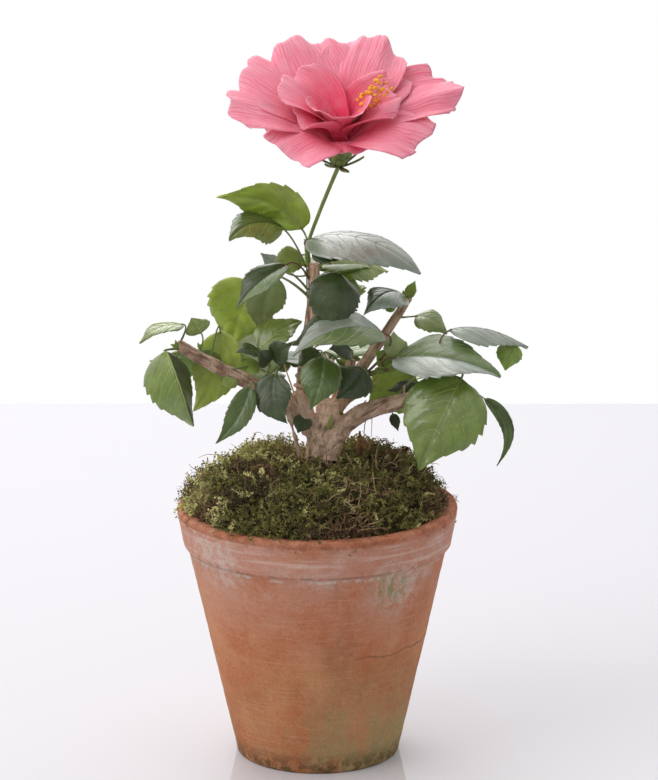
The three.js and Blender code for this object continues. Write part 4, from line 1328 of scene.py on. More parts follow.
class HIBISCUS_OT_wood(bpy.types.Operator):
    """Join the trunk and boughs under one bark, and make the green shoots"""

    bl_idname = "hibiscus.wood"
    bl_label = "Wood"

    def execute(self, context):
        wanted = context.scene.hibiscus.bark
        bark = self.joined("bark", WOOD, wanted.voxel, 7, 0.15 * MM)
        self.roughen(bark, wanted)
        bark.materials.append(self.bark(wanted))
        show("bark", bark, "bark", *WOOD)
        shoots = self.joined("green_shoots", GREEN_WOOD, wanted.voxel * 0.6, 4, -0.25 * MM)
        shoots.materials.append(self.shoot(wanted))
        show("green_shoots", shoots, "green_shoot", *GREEN_WOOD)
        self.twigs(bark.materials[0])
        return {"FINISHED"}

    def twigs(self, finish):
        """Bare twigs at their places, then short spurs with a bud along the leader and each bough."""
        rng = np.random.default_rng(88)
        wood = limb_surface()
        fork = trunk_level(1)
        heap = Heap()
        for start, end, thick in TWIGS:
            start, end = fork + np.array(start) * MM, fork + np.array(end) * MM
            foot = np.array(wood.find_nearest(Vector(start))[0])
            path = bent(foot, end, 1.2 * MM, heading(rng.uniform(0, 360), 0), 12)
            path = path + np.cumsum(rng.normal(size=(12, 3)), axis=0) * 0.12 * MM
            heap.add(*tube(path, np.linspace(thick, thick * 0.45, 12) * MM, 7))
        for node in WOOD[1:8]:
            points = node_points(node)
            middle = points.mean(0)
            for _ in range(4):
                at = points[rng.integers(len(points))]
                way = unit(unit(at - middle) + UP * 0.7 + rng.normal(size=3) * 0.5)
                foot, normal = wood.find_nearest(Vector(at))[:2]
                way = unit(way + np.array(normal) * 1.2)
                long = rng.uniform(2.5, 6) * MM
                path = bent(np.array(foot) - way * 0.8 * MM, np.array(foot) + way * long,
                            0.4 * MM, UP, 9)
                bud = np.array([1.0, 0.8, 0.7, 0.7, 0.72, 0.9, 1.15, 0.95, 0.3])
                heap.add(*tube(path, bud * rng.uniform(0.6, 0.95) * MM, 7))
        show("twigs", heap.mesh("twigs", [finish]), "bark")

    def joined(self, name, nodes, voxel, smoothing, grow):
        """Limbs grown into each other, then smoothed, so that forks flow."""
        holder = held(name, written(name, frame_mesh(*nodes, grow=grow)))
        remesh = holder.modifiers.new("joined", "REMESH")
        remesh.mode, remesh.voxel_size = "VOXEL", voxel
        soften = holder.modifiers.new("softened", "SMOOTH")
        soften.factor, soften.iterations = 0.5, smoothing
        made = baked(name, holder)
        made.materials.clear()
        return made

    def roughen(self, mesh, wanted):
        points, ways = coordinates(mesh), coordinates(mesh, "normal")
        thick = smooth(np.linalg.norm(points[:, :2], axis=1), 30 * MM, 14 * MM) * smooth(
            points[:, 2], 225 * MM, 200 * MM)
        fissure = self.along_limbs(points)
        folds = (
            1.3 * lumps(points, 13 * MM, 9) * (0.4 + 0.6 * thick) + fissure * (1 - 0.3 * thick)
            + 0.3 * lumps(points, 1.9 * MM, 10) - 0.3
        )
        rings = 0.4 * np.sin(points[:, 2] / (1.35 * MM) + 2 * lumps(points, 9 * MM, 12))
        amount = wanted.relief * (folds + rings * thick) * (0.6 + 0.6 * thick)
        move_points(mesh, points + ways * amount[:, None])
        give(mesh, "crease", np.clip(0.5 - (0.5 - 0.18 * thick) * fissure, 0, 1))

    def along_limbs(self, points):
        """Ridges and creases that run along each limb, blended where limbs meet."""
        total, weights = np.zeros(len(points)), np.zeros(len(points))
        fork = trunk_level(1)
        for seed, node in enumerate(WOOD, start=70):
            own = node_points(node)
            end = far_end(node, fork)
            start = own[np.linalg.norm(own - end, axis=1).argmax()]
            line = end - start
            share_on = np.clip((points - start) @ line / (line @ line), 0, 1)
            gap = np.linalg.norm(points - start - share_on[:, None] * line, axis=1)
            axis = unit(line)
            flat = points - 0.84 * ((points - start) @ axis)[:, None] * axis
            ridge = 0.75 * lumps(flat, 3.6 * MM, seed) + 0.5 * lumps(flat, 1.7 * MM, seed + 20)
            weight = 1 / np.maximum(gap, 1 * MM) ** 5
            total, weights = total + weight * ridge, weights + weight
        return total / weights

    def bark(self, wanted):
        """Tan bark with pores, bare wood on the leader and pale old cuts; painted shade darkens the
        creases, a painted highlight lightens the ridges, and painted light lifts the trunk's middle.
        """
        f = Finish("bark")
        x, _, z = f.axes()
        cloud = f.noise(9 * MM, 4.0, 0.6)
        fibre = f.noise(2.2 * MM, 4.0, 0.65, stretch=(1.0, 1.0, 0.35))
        f.base = f.mix(f.ramp(cloud, 0.38, 0.7), wanted.bark, "9A7862")
        f.coat("B79880", 0.5, f.ramp(f.noise(16 * MM), 0.5, 0.7))
        leader = far_end("leader", np.array([0, 0, 0.15]))
        leaning = f.sum("SUBTRACT", x, f.times(f.sum("SUBTRACT", z, leader[2]), LEADER_LEAN))
        ragged = f.sum("ADD", leaning, f.times(f.noise(5 * MM), 3 * MM))
        peel = f.times(
            f.near(leader - [-4 * MM, 0, 26 * MM], 34 * MM, 0.85),
            f.ramp(ragged, leader[0] - 0.6 * MM, leader[0] + 0.4 * MM),
        )
        f.coat("96745E", f.ramp(x, -1 * MM, -6 * MM), f.near(leader, 52 * MM, 0.8))
        f.base = f.mix(peel, f.base, f.mix(f.ramp(fibre, 0.4, 0.65), wanted.peeled, "CC9E80"))
        foot = trunk_level(0)
        for node, reach in (("leader", 3.4), ("stump_front", 9.5), ("stump_left", 5.6),
                            ("stump_right", 4.6), ("bough_left", 4.2)):
            near = f.near(far_end(node, foot), reach * MM, 0.9)
            f.base = f.mix(near, f.base, f.mix(f.ramp(fibre, 0.35, 0.7), wanted.cut, "B58870"))
        # Paler bark on the trunk's middle: the bark's own pale tan, lifted further as painted light
        # where the leaves shade the trunk.
        pale = f.times(f.ramp(z, 226 * MM, 190 * MM), f.ramp(f.noise(11 * MM), 0.3, 0.6))
        middle = f.ramp(f.sum("ABSOLUTE", x, 0.0), 26 * MM, 12 * MM)
        f.coat(wanted.pale, 0.95, f.times(pale, middle))
        # The crease measure follows the relief: the dark in the sunken creases is painted shade and
        # the pale on the raised ridges is a painted highlight, over the bark's own streaks.
        crease = f.node("ShaderNodeAttribute", {}, attribute_name="crease").outputs["Fac"]
        f.coat(wanted.shade, 0.75, f.ramp(crease, 0.52, 0.85))
        f.coat(wanted.pale, 0.35, f.ramp(crease, 0.4, 0.1))
        f.coat(wanted.shade, 0.35, f.ramp(fibre, 0.52, 0.72))
        pores = f.ramp(f.spots(2.3 * MM, stretch=(1.7, 1.7, 0.9)), 0.26, 0.14)
        f.coat(wanted.shade, 0.4, pores, f.ramp(cloud, 0.4, 0.6))
        splits = f.noise(0.9 * MM, 3.0, 0.7, stretch=(1.0, 1.0, 0.3))
        f.coat(wanted.shade, 0.35, f.ramp(splits, 0.55, 0.7))
        relief = f.sum("ADD", fibre, f.times(splits, -0.8))
        f.bump(f.sum("SUBTRACT", relief, f.times(pores, 0.4)), 0.8 * MM)
        return f.set(f.base, 0.8, specular=0.25)

    def shoot(self, wanted):
        f = Finish("green shoot")
        fibre = f.noise(3 * MM, 3.0, 0.6, stretch=(1.0, 1.0, 0.3))
        f.base = f.mix(f.ramp(fibre, 0.35, 0.7), wanted.shoot, "8A9A58")
        low = f.ramp(f.axes()[2], 292 * MM, 276 * MM)
        f.coat("7D6548", f.ramp(f.noise(4 * MM), 0.4, 0.6), low)
        f.bump(fibre, 0.15 * MM)
        return f.set(f.base, 0.5, specular=0.4, subsurface=0.1, depth=0.5 * MM)


# ------------------------------------------------------------------ leaves

# Each row: the mass, the blade's heel and tip as shares of the mass's box, the blade's width in
# mm, the way its upper side faces as (azimuth, rise), how far its middle arches towards that side
# and sweeps sideways in mm, how far its halves fold up in degrees, how far its sides curl down as
# a share of the half width, and its tone, or the tones of its left and right half.
LEAVES = (
    ("top_left_up", (0.90, 1.15, 0.30), (0.00, 0.60, 0.80), 31, (-115, -15), 0, -9, 8, 0.1, "backlit"),
    ("top_left_low", (0.70, 0.90, 0.65), (0.00, 0.20, 0.60), 27, (-100, 50), 3, -5, -8, 0.3,
     "mid/green"),
    ("top_right", (0.00, 0.90, 0.50), (1.00, 0.40, -0.10), 44, (-80, 78), 9, 0, -8, 0.25, "grey"),
    ("top_right", (0.05, 0.80, 0.25), (0.40, 0.60, 0.20), 14, (-90, 60), 1, 0, 0, 0.4, "deep"),
    ("top_right_low", (0.15, 0.40, 0.65), (1.00, 1.00, 0.05), 32, (-90, 62), 3, 0, -6, 0.2, "fresh"),
    ("top_right_low", (0.20, 0.35, 0.60), (0.65, 0.05, -0.35), 8, (-50, 40), 1, 0, 0, 0.2, "under"),
    ("top_front", (0.58, 0.65, 0.90), (0.58, 0.15, 0.08), 31, (-74, 15), 3, -2, -12, 0.3, "deep"),
    ("top_front", (0.45, 0.35, 0.35), (-0.12, 0.10, -0.04), 14, (-80, 30), 1, 3, 0, 0.2, "deep"),
    ("upper_left", (0.70, 0.80, 0.90), (0.05, 0.35, 0.00), 21, (-125, 46), 5, 0, 14, 0.2, "deep/sage"),
    ("upper_left", (0.90, 1.25, 1.00), (0.50, 1.15, 0.70), 17, (-90, 40), 2, 0, 0, 0.2, "fresh"),
    ("upper_left", (0.65, 1.50, 0.55), (0.35, 1.60, 0.95), 10, (-90, 20), 0, 0, 0, 0.1, "grey"),
    ("upper_left_back", (0.45, 0.80, 0.95), (0.20, 1.30, 0.00), 24, (-70, 10), 0, -3, 6, 0.1, "under"),
    ("upper_left_far", (0.45, 0.85, 0.90), (0.20, 1.15, -0.05), 40, (-90, 25), 0, -3, 6, 0.1,
     "backlit"),
    ("left_tip", (1.00, 0.75, 0.75), (0.05, 0.15, 0.10), 18, (-100, 86), 4, 0, 4, 0.3, "green"),
    ("left_top", (0.80, 0.30, 0.55), (0.30, 0.70, 1.00), 16, (-80, 45), 1, 0, 6, 0.2, "green"),
    ("left_hanging", (0.48, 0.65, 1.00), (0.95, 0.00, 0.10), 42, (-66, 14), 3, -3, -48, 0.1,
     "green/deep"),
    ("left_back", (0.60, 0.95, 1.00), (0.05, 0.55, 0.00), 28, (-90, 20), 2, 5, 10, 0.1, "backlit"),
    ("left_under", (0.70, 0.60, 1.00), (0.05, 0.00, 0.00), 15, (-90, 20), 2, 3, 14, 0.2, "mid"),
    ("left_under", (0.45, 0.90, 1.10), (0.15, 0.70, 1.00), 9, (-90, 30), 0, 0, 0, 0.2, "fresh"),
    ("left_inner", (0.95, 1.00, 0.80), (0.20, 0.30, 1.25), 15, (-90, 60), 4, 0, 8, 0.4, "deep"),
    ("left_inner", (0.85, 0.90, 0.55), (0.15, 0.50, 0.25), 13, (-90, 40), 1, 0, 0, 0.2, "fresh"),
    ("left_mid", (0.10, 0.40, 0.30), (1.00, 0.90, 0.90), 24, (-120, 45), 4, 0, 10, 0.1, "green"),
    ("left_mid", (0.40, 0.05, 0.15), (0.80, -0.20, 0.60), 15, (-90, 30), 2, 0, 8, 0.2, "deep"),
    ("left_mid", (0.35, 0.00, 0.05), (0.10, -0.20, 0.45), 12, (-90, 30), 2, 0, 8, 0.2, "deep"),
    ("front_left", (0.57, 0.65, 1.15), (0.86, 0.00, 0.10), 23, (-105, 20), 3, -4, 12, 0.1, "deep"),
    ("front_centre", (0.95, 0.60, 0.85), (-0.05, 0.15, 0.65), 37, (-85, 70), 11, 0, 6, 0.25,
     "grey/sage"),
    ("front_centre", (0.60, 0.75, 0.50), (0.35, 0.55, 0.60), 14, (-90, 40), 1, 0, 0, 0.2, "deep"),
    ("front_low", (0.58, 0.50, 0.92), (0.34, 0.00, 0.02), 24, (-95, 24), 4, 2, 6, 0.4, "mid"),
    ("front_low", (0.55, 0.90, 0.90), (0.10, 0.70, 0.70), 15, (-90, 30), 0, 0, 8, 0.2, "deep"),
    ("front_low", (0.25, 0.80, -0.30), (0.10, 0.60, -0.60), 11, (-90, 20), 0, 0, 6, 0.2, "deep"),
    ("front_right", (0.62, 0.65, 0.90), (0.08, 0.05, 0.28), 23, (-76, 34), 3, 2, 6, 0.4, "deep"),
    ("front_right", (0.10, 0.75, -0.45), (0.30, 0.70, -0.35), 7, (-90, 40), 0, 0, 0, 0.2, "fresh"),
    ("front_right", (-0.15, 0.50, -0.65), (0.00, 0.40, -0.25), 6, (-80, 40), 0, 0, 6, 0.2, "fresh"),
    ("right_upper", (0.85, 0.85, 0.40), (0.05, 0.15, -0.05), 26, (-95, 68), 7, 0, -6, 0.3,
     "deep/grey"),
    ("right_upper", (0.90, 0.70, 0.40), (1.05, 0.65, 1.10), 7, (-110, 20), 0, 0, 10, 0.1, "backlit"),
    ("right_upper", (0.70, 0.95, -0.05), (0.40, 1.00, 0.05), 9, (-90, 40), 0, 0, 0, 0.2, "fresh"),
    ("right_tip", (0.30, 0.70, 0.70), (1.00, 0.40, 0.00), 20, (-70, 60), 4, 0, 0, 0.3, "green"),
    ("right_mid", (0.10, 0.70, 0.46), (1.00, 0.20, 0.20), 44, (-85, 70), 7, 0, 8, 0.2, "grey/sage"),
    ("right_inner", (0.70, 0.15, 0.40), (0.60, 0.65, 1.00), 15, (-70, 15), 1, 0, 8, 0.1, "under"),
    ("right_inner", (0.55, 0.80, 0.20), (-0.05, 1.00, 0.45), 13, (-90, 30), 0, 0, 4, 0.1, "fresh"),
    ("right_far", (0.05, 0.35, 0.90), (1.00, 0.65, 0.10), 26, (-90, 84), 3, 0, -14, 0.3, "grey"),
    ("right_far", (0.80, 0.55, 0.30), (0.72, 0.50, -0.80), 15, (-100, 10), 1, 0, 0, 0.2, "fresh"),
    ("right_hanging", (0.70, 0.65, 0.90), (0.15, 0.00, -0.05), 48, (-94, 30), 5, 0, 4, 0.3, "green"),
    ("right_low_far", (0.65, 0.45, 0.85), (0.80, -0.05, -0.10), 9, (-60, 20), 1, 11, 10, 0.2, "mid"),
    ("right_under", (0.85, 0.75, 0.60), (0.00, 0.90, -0.05), 32, (-90, 15), 1, 0, 8, 0.1, "backlit"),
    ("right_under", (0.90, 0.60, 0.45), (0.35, 0.30, 0.40), 9, (-90, 40), 0, 0, 0, 0.3, "deep"),
    ("right_under", (0.45, 0.40, -0.05), (0.55, 0.25, -0.35), 6, (-90, 20), 0, 0, 6, 0.2, "deep"),
)
# Masses behind the leader, filled by the branching rule: how wide and how bright their leaves are.
BACK_MASSES = {
    "back_top": (34, "green"), "back_upper": (34, "fresh"), "back_centre": (38, "green"),
    "back_mid": (32, "deep"), "back_right": (36, "green"), "back_right_low": (30, "deep"),
    "back_right_far": (34, "fresh"), "back_left_up": (34, "green"), "back_left": (34, "green"),
    "back_left_far": (32, "fresh"), "back_low": (28, "deep"),
}
LEAF_COLUMNS = 21
VEIN_PAIRS = 5
TONES = ("deep", "mid", "green", "fresh", "backlit", "grey", "sage", "under")
VEIN_TONES = {"deep": "dull", "mid": "dull", "grey": "silver", "sage": "white"}


def vein_at(pair, reach):
    """How far along the blade a side vein lies where it has got this far out from the midrib."""
    start = 0.01 + 0.74 * (pair / VEIN_PAIRS) ** 1.2
    return start + (0.56 - 0.36 * pair / VEIN_PAIRS) * reach**1.3


class Blade:
    """One leaf blade as a surface over t, from heel to tip, and u, from edge to edge."""

    def __init__(self, heel, tip, width, faces, arch, sweep, fold, curl, rng, settings):
        self.heel, self.width = heel, width
        self.length = np.linalg.norm(tip - heel)
        self.axis = unit(tip - heel)
        self.face = unit(faces - self.axis * (faces @ self.axis))
        self.side = np.cross(self.face, self.axis)
        self.arch, self.sweep, self.curl = arch, sweep, curl
        self.fold = math.radians(fold)
        self.phase = rng.uniform(0, 2 * math.pi, 4)
        level = abs(faces[2]) > 0.8
        self.wave = rng.uniform(0.05, 0.09) * width * (0.55 if level else 0.75)
        self.twist = rng.uniform(-0.25, 0.25)
        self.teeth = max(5, round(settings.teeth * min(1.0, 0.35 + self.length / (60 * MM))))
        puffed = min(1.6, width / (30 * MM)) * (0.6 if level else 1.1)
        self.tooth, self.quilt = settings.tooth, settings.quilt * puffed
        self.vein = settings.vein * min(1.0, 0.45 + width / (60 * MM))

    def outline(self, t, toothed=True):
        """Half the blade's width as a share: a broad heel, widest early, and a drawn-out tip."""
        body = np.maximum(np.sin(math.pi * np.clip(t, 0.0, 1) ** 0.7), 1e-6) ** 0.78
        pinch = 1 - 0.45 * smooth(t, 0.55, 0.97)
        saw = (t * self.teeth) % 1.0
        teeth = 1 + self.tooth * (saw - 0.5) * smooth(t, 0.2, 0.45) if toothed else 1.0
        return np.maximum(body * pinch * teeth, 0.012)

    def at(self, t, u, lift=0.0):
        """Points of the upper surface, moved along its normal by lift."""
        t, u = np.broadcast_arrays(np.asarray(t, float), np.asarray(u, float))
        bow, slope = 4 * t * (1 - t), 4 * (1 - 2 * t)
        spine = (
            self.heel + self.axis * (self.length * t)[..., None]
            + self.face * (self.arch * bow)[..., None] + self.side * (self.sweep * bow)[..., None]
        )
        tangent = unit(
            self.axis * self.length + self.face * (self.arch * slope)[..., None]
            + self.side * (self.sweep * slope)[..., None]
        )
        side = unit(self.side - tangent * (tangent @ self.side)[..., None])
        face = np.cross(tangent, side)
        turn = self.twist * (t - 0.4)
        side, face = (
            side * np.cos(turn)[..., None] + face * np.sin(turn)[..., None],
            face * np.cos(turn)[..., None] - side * np.sin(turn)[..., None],
        )
        across = u * self.width / 2 * self.outline(t)
        half = self.width / 2 * self.outline(t, toothed=False)
        reach = np.abs(across) / half
        gaps = [np.abs(t - vein_at(k, reach)) for k in range(VEIN_PAIRS)]
        swell = smooth(np.minimum.reduce(gaps) * self.length, 0, 5 * MM)
        height = np.abs(across) * math.sin(self.fold) - self.curl * reach**2 * half * 0.6
        height = height + half * (0.2 * self.curl - 0.5 * math.sin(self.fold))
        height = height + self.wave * reach**2 * (
            0.7 * np.sin(2 * math.pi * 1.4 * t + self.phase[0] + np.sign(u) * self.phase[1])
            + 0.15 * np.sin(2 * math.pi * 3.1 * t + self.phase[2] + np.sign(u) * self.phase[3])
        ) * smooth(t, 0, 0.2)
        uneven = 1 + 0.35 * np.sin(9 * t + self.phase[1] + 5 * u) * np.sin(13 * t + self.phase[2])
        height = height + self.quilt * swell * uneven * (1 - reach**6) * bell(reach - 0.5, 0.6)
        height = height - 0.5 * MM * bell(across, 1.3 * MM) * (self.width / (40 * MM))
        pull = across * math.cos(self.fold)
        return spine + side * pull[..., None] + face * (height + lift)[..., None]

    def rows(self):
        """The stations from heel to tip, set so that every tooth has its notch and its point."""
        notch = np.array([0.0, 0.35, 0.7, 0.97])
        stations = (np.arange(self.teeth)[:, None] + notch[None]).ravel() / self.teeth
        return np.append(stations, 1.0)


def add_blade(blade, uppers, veins, thickness):
    """The blade as a thin closed leaf, whole or as two halves of their own tone, and its veins."""
    t = blade.rows()[:, None]
    spans = ((-1, 1),) if len(uppers) == 1 else ((-1, 0), (0, 1))
    columns = LEAF_COLUMNS if len(uppers) == 1 else LEAF_COLUMNS // 2 + 1
    for heap, span in zip(uppers, spans):
        u = np.linspace(*span, columns)[None]
        heap.add_shell(blade.at(t, u), blade.at(t, u, -thickness), chart(u * 0.5 + 0.5, t), 1)
    lines = [(veins[0], np.linspace(0.005, 0.97, 22), np.zeros(22), 1.3)]
    pairs = VEIN_PAIRS if blade.width > 16 * MM else 3
    for side in (-1, 1):
        for k in range(pairs):
            out = np.linspace(0, 0.92, 10)
            lines.append((
                veins[-1 if side > 0 else 0], np.minimum(vein_at(k, out), 0.985), side * out,
                1.0 if k < 3 else 0.7,
            ))
    for heap, along, across, share_of in lines:
        for up, raised in ((1, 0.2 * MM), (-1, 0.3 * MM)):
            add_vein(blade, along, across, blade.vein * share_of, raised, up, heap, thickness)


def add_vein(blade, along, across, width, raised, up, veins, thickness):
    """A vein as a low ridge along a line on the blade's upper or lower side."""
    base = 0.0 if up > 0 else -thickness
    centre = blade.at(along, across, base)
    ridge = blade.at(along, across, base + up * raised)
    tangent = unit(np.gradient(centre, axis=0))
    out = unit(ridge - centre)
    lateral = unit(np.cross(out, tangent))
    half = (width / 2 * np.linspace(1, 0.3, len(centre)))[:, None]
    foot = -out * 0.12 * MM
    points = np.stack([centre + lateral * half + foot, ridge, centre - lateral * half + foot], 1)
    veins.add(points.reshape(-1, 3), grid_faces(len(centre), 3))


class HIBISCUS_OT_leaves(bpy.types.Operator):
    """Grow the leaf stalks and leaves of every mass from the limbs"""

    bl_idname = "hibiscus.leaves"
    bl_label = "Leaves"

    def execute(self, context):
        wanted = context.scene.hibiscus.leaf
        self.rng = np.random.default_rng(21)
        self.wanted = wanted
        self.wood = limb_surface()
        self.heaps = {tone: Heap() for tone in TONES}
        self.veins = {tone: Heap() for tone in ("pale", "dull", "silver", "white")}
        self.stalks, self.ruddy = Heap(), Heap()
        self.owner = {}
        seen = {}
        for row in LEAVES:
            self.grow_row(row, seen)
        for mass, (width, tone) in BACK_MASSES.items():
            self.grow_back(mass, width * MM, tone)
        self.dress(wanted)
        return {"FINISHED"}

    def foot(self, mass):
        """Where the mass's stalk meets its limb."""
        points = node_points(f"leaves_{mass}")
        best = min(
            (self.wood.find_nearest(Vector(p)) for p in points), key=lambda hit: hit[3]
        )
        return np.array(best[0])

    def grow_row(self, row, seen):
        mass, heel, tip, width, faces, arch, sweep, fold, curl, tone = row
        node = f"leaves_{mass}"
        heel, tip = in_box(node, heel), in_box(node, tip)
        main = mass not in seen
        if main:
            self.owner[mass] = tone.split("/")[0]
            foot = self.foot(mass)
        else:
            rib = seen[mass].at(np.linspace(0.1, 0.9, 17), 0.0)
            wood = np.array(self.wood.find_nearest(Vector(heel))[0])
            near = rib[np.linalg.norm(rib - heel, axis=1).argmin()]
            foot = min(near, wood, key=lambda place: np.linalg.norm(place - heel))
        blade = self.leaf(foot, heel, tip, width * MM, heading(*faces), arch * MM, sweep * MM,
                          fold, curl, tone)
        seen.setdefault(mass, blade)
        if main and self.rng.random() < 0.55:
            self.sprout(foot, heel)

    def leaf(self, foot, heel, tip, width, faces, arch, sweep, fold, curl, tone):
        blade = Blade(heel, tip, width, faces, arch, sweep, fold, curl, self.rng, self.wanted)
        tones = tone.split("/")
        veins = [self.veins[VEIN_TONES.get(half, "pale")] for half in tones]
        add_blade(blade, [self.heaps[half] for half in tones], veins, self.wanted.thickness)
        gap = np.linalg.norm(heel - foot)
        if gap < 0.5 * MM:
            return blade
        into = unit(blade.at(0.03, 0.0) - blade.at(0.0, 0.0))
        t = np.linspace(0, 1, 12)[:, None]
        control = heel - into * gap * 0.45 + UP * gap * 0.06
        path = foot * (1 - t) ** 2 + control * 2 * t * (1 - t) + heel * t**2
        path = np.vstack([path, heel + into * 1.5 * MM])
        thick = 0.35 * MM + 0.3 * MM * min(1.0, width / (40 * MM))
        radii = thick * np.concatenate([np.linspace(1.35, 0.9, 6), np.linspace(0.88, 1.0, 7)])
        target = self.ruddy if tones[-1] in ("grey", "sage") else self.stalks
        target.add(*tube(path, radii))
        return blade

    def sprout(self, foot, heel):
        """A bud in the leaf's angle: two tiny young leaves."""
        way = unit(unit(heel - foot) + UP * 0.9 + self.rng.normal(size=3) * 0.25)
        size = self.rng.uniform(3.5, 6.5) * MM
        for turn in (-1, 1):
            side = unit(np.cross(way, heading(-90, 20))) * turn
            tip = foot + way * size + side * size * 0.35
            blade = Blade(foot + way * 0.8 * MM, tip, size * 0.45, heading(-90, 30), 0.3 * MM, 0,
                          14, 0.1, self.rng, self.wanted)
            t, u = np.linspace(0, 1, 9)[:, None], np.linspace(-1, 1, 5)[None]
            self.heaps["fresh"].add_shell(blade.at(t, u), blade.at(t, u, -0.25 * MM))

    def grow_back(self, mass, width, tone):
        """The branching rule: one leaf to the mass's tip, and one or two smaller beside it."""
        rng = self.rng
        points = node_points(f"leaves_{mass}")
        foot = self.foot(mass)
        self.owner[mass] = tone
        reach = np.linalg.norm(points - foot, axis=1)
        tip = points[reach.argmax()]
        axis = unit(tip - foot)
        along = (points - foot) @ axis
        off = np.linalg.norm(points - foot - along[:, None] * axis, axis=1)
        heel_at = along[off > 4.5 * MM].min() - 3 * MM
        heel = foot + axis * max(heel_at, 2 * MM)
        pad = points[along > heel_at] - points[along > heel_at].mean(0)
        face = np.linalg.svd(pad, full_matrices=False)[2][2]
        face = face if face[2] > 0 else -face
        self.leaf(foot, heel, tip, width, face, rng.uniform(2, 5) * MM, rng.uniform(-4, 4) * MM,
                  rng.uniform(-6, 8), rng.uniform(0.1, 0.3), tone)
        side = np.cross(face, axis)
        for turn in (-1, 1):
            if rng.random() < 0.25:
                continue
            start = foot + (heel - foot) * rng.uniform(0.25, 0.7)
            way = unit(axis + side * turn * rng.uniform(0.7, 1.2) + face * rng.uniform(-0.5, 0.4))
            size = np.linalg.norm(tip - heel) * rng.uniform(0.4, 0.6)
            base = start + way * rng.uniform(4, 9) * MM
            self.leaf(start, base, base + way * size, size * rng.uniform(0.6, 0.75),
                      unit(face + rng.normal(size=3) * 0.25), rng.uniform(0, 2) * MM,
                      rng.uniform(-2, 2) * MM, rng.uniform(0, 12), 0.2,
                      rng.choice(["deep", "green", "fresh"]))

    def dress(self, wanted):
        under = mottled("leaf underside", wanted.under, "77955A", 5 * MM, 0.7,
                        (0.9 * MM, 2.0, 0.5, 0.1 * MM, 0.5), 0.6, specular=0.3, subsurface=0.3,
                        depth=1.2 * MM, radius=(0.5, 1.0, 0.15))
        for tone, heap in self.heaps.items():
            if not heap.count:
                continue
            mesh = heap.mesh(f"leaves_{tone}", [self.blade_finish(tone, wanted), under])
            nodes = [f"leaves_{m}" for m, owner in self.owner.items() if owner == tone]
            show(f"foliage_{tone}", mesh, "leaf", *nodes)
        for tone, tint in (("pale", wanted.veins), ("dull", wanted.dull_veins),
                           ("silver", wanted.silver_veins), ("white", wanted.white_veins)):
            finish = mottled(f"veins {tone}", tint, shaded(tint, 0.75), 4 * MM, 0.65, None, 0.45,
                             specular=0.4)
            show(f"leaf_veins_{tone}", self.veins[tone].mesh(f"veins_{tone}", [finish]), "leaf")
        for name, heap, tint in (("leaf_stalks", self.stalks, wanted.petiole),
                                 ("ruddy_stalks", self.ruddy, wanted.ruddy)):
            finish = mottled(name.replace("_", " "), tint, shaded(tint, 0.7), 3 * MM, 0.7,
                             (0.8 * MM, 3.0, 0.55, 0.1 * MM, 1.0), 0.5, specular=0.4)
            show(name, heap.mesh(name, [finish]), "green_shoot")

    def blade_finish(self, tone, wanted):
        """Leaf green, mottled along the blade, glossy under a faint wax."""
        f = Finish(f"leaf {tone}")
        plain = tuple(getattr(wanted, tone))
        light = shaded(plain, 1.35, 0.01)
        f.base = f.mix(f.ramp(f.noise(7 * MM), 0.32, 0.7), shaded(plain, 0.68), light)
        f.base = f.mix(0.5, f.base, plain)
        cells = f.node(
            "ShaderNodeTexVoronoi", {"Vector": f.place, "Scale": 1 / (3.2 * MM)},
            feature="SMOOTH_F1",
        ).outputs[0]
        u, t = f.surface()[:2]
        out = f.sum("ABSOLUTE", f.sum("SUBTRACT", f.times(u, 2.0), 1.0), 0.0)
        slant = f.sum("SUBTRACT", t, f.times(out, 0.5))
        fine = f.streaks(f.times(slant, 58.0), f.times(out, 2.4), 2.0)
        relief = f.sum("ADD", f.times(cells, -0.4), f.times(fine, 0.9))
        lit, silver = tone in ("backlit", "fresh"), tone in ("grey", "sage")
        f.bump(relief, (0.35 if silver or tone == "green" else 0.26) * MM, 0.6)
        f.coat(light, 0.3, f.ramp(fine, 0.45, 0.62))
        f.shader.inputs["IOR"].default_value = 1.8 if tone == "grey" else 1.5
        f.shader.inputs["Coat IOR"].default_value = 1.9 if tone == "grey" else 1.5
        coat = {"grey": 1.0, "sage": 0.4, "green": 0.8, "deep": 0.35}.get(tone, 0.5)
        return f.set(f.base, 0.4 if lit or silver else 0.3, specular=0.6 if silver else 0.5,
                     coat=coat, coat_roughness={"green": 0.18}.get(tone, 0.46 if silver else 0.3),
                     subsurface=0.45 if lit else 0.15, depth=1.2 * MM, radius=(0.6, 1.0, 0.15))


# ------------------------------------------------------------------ bloom

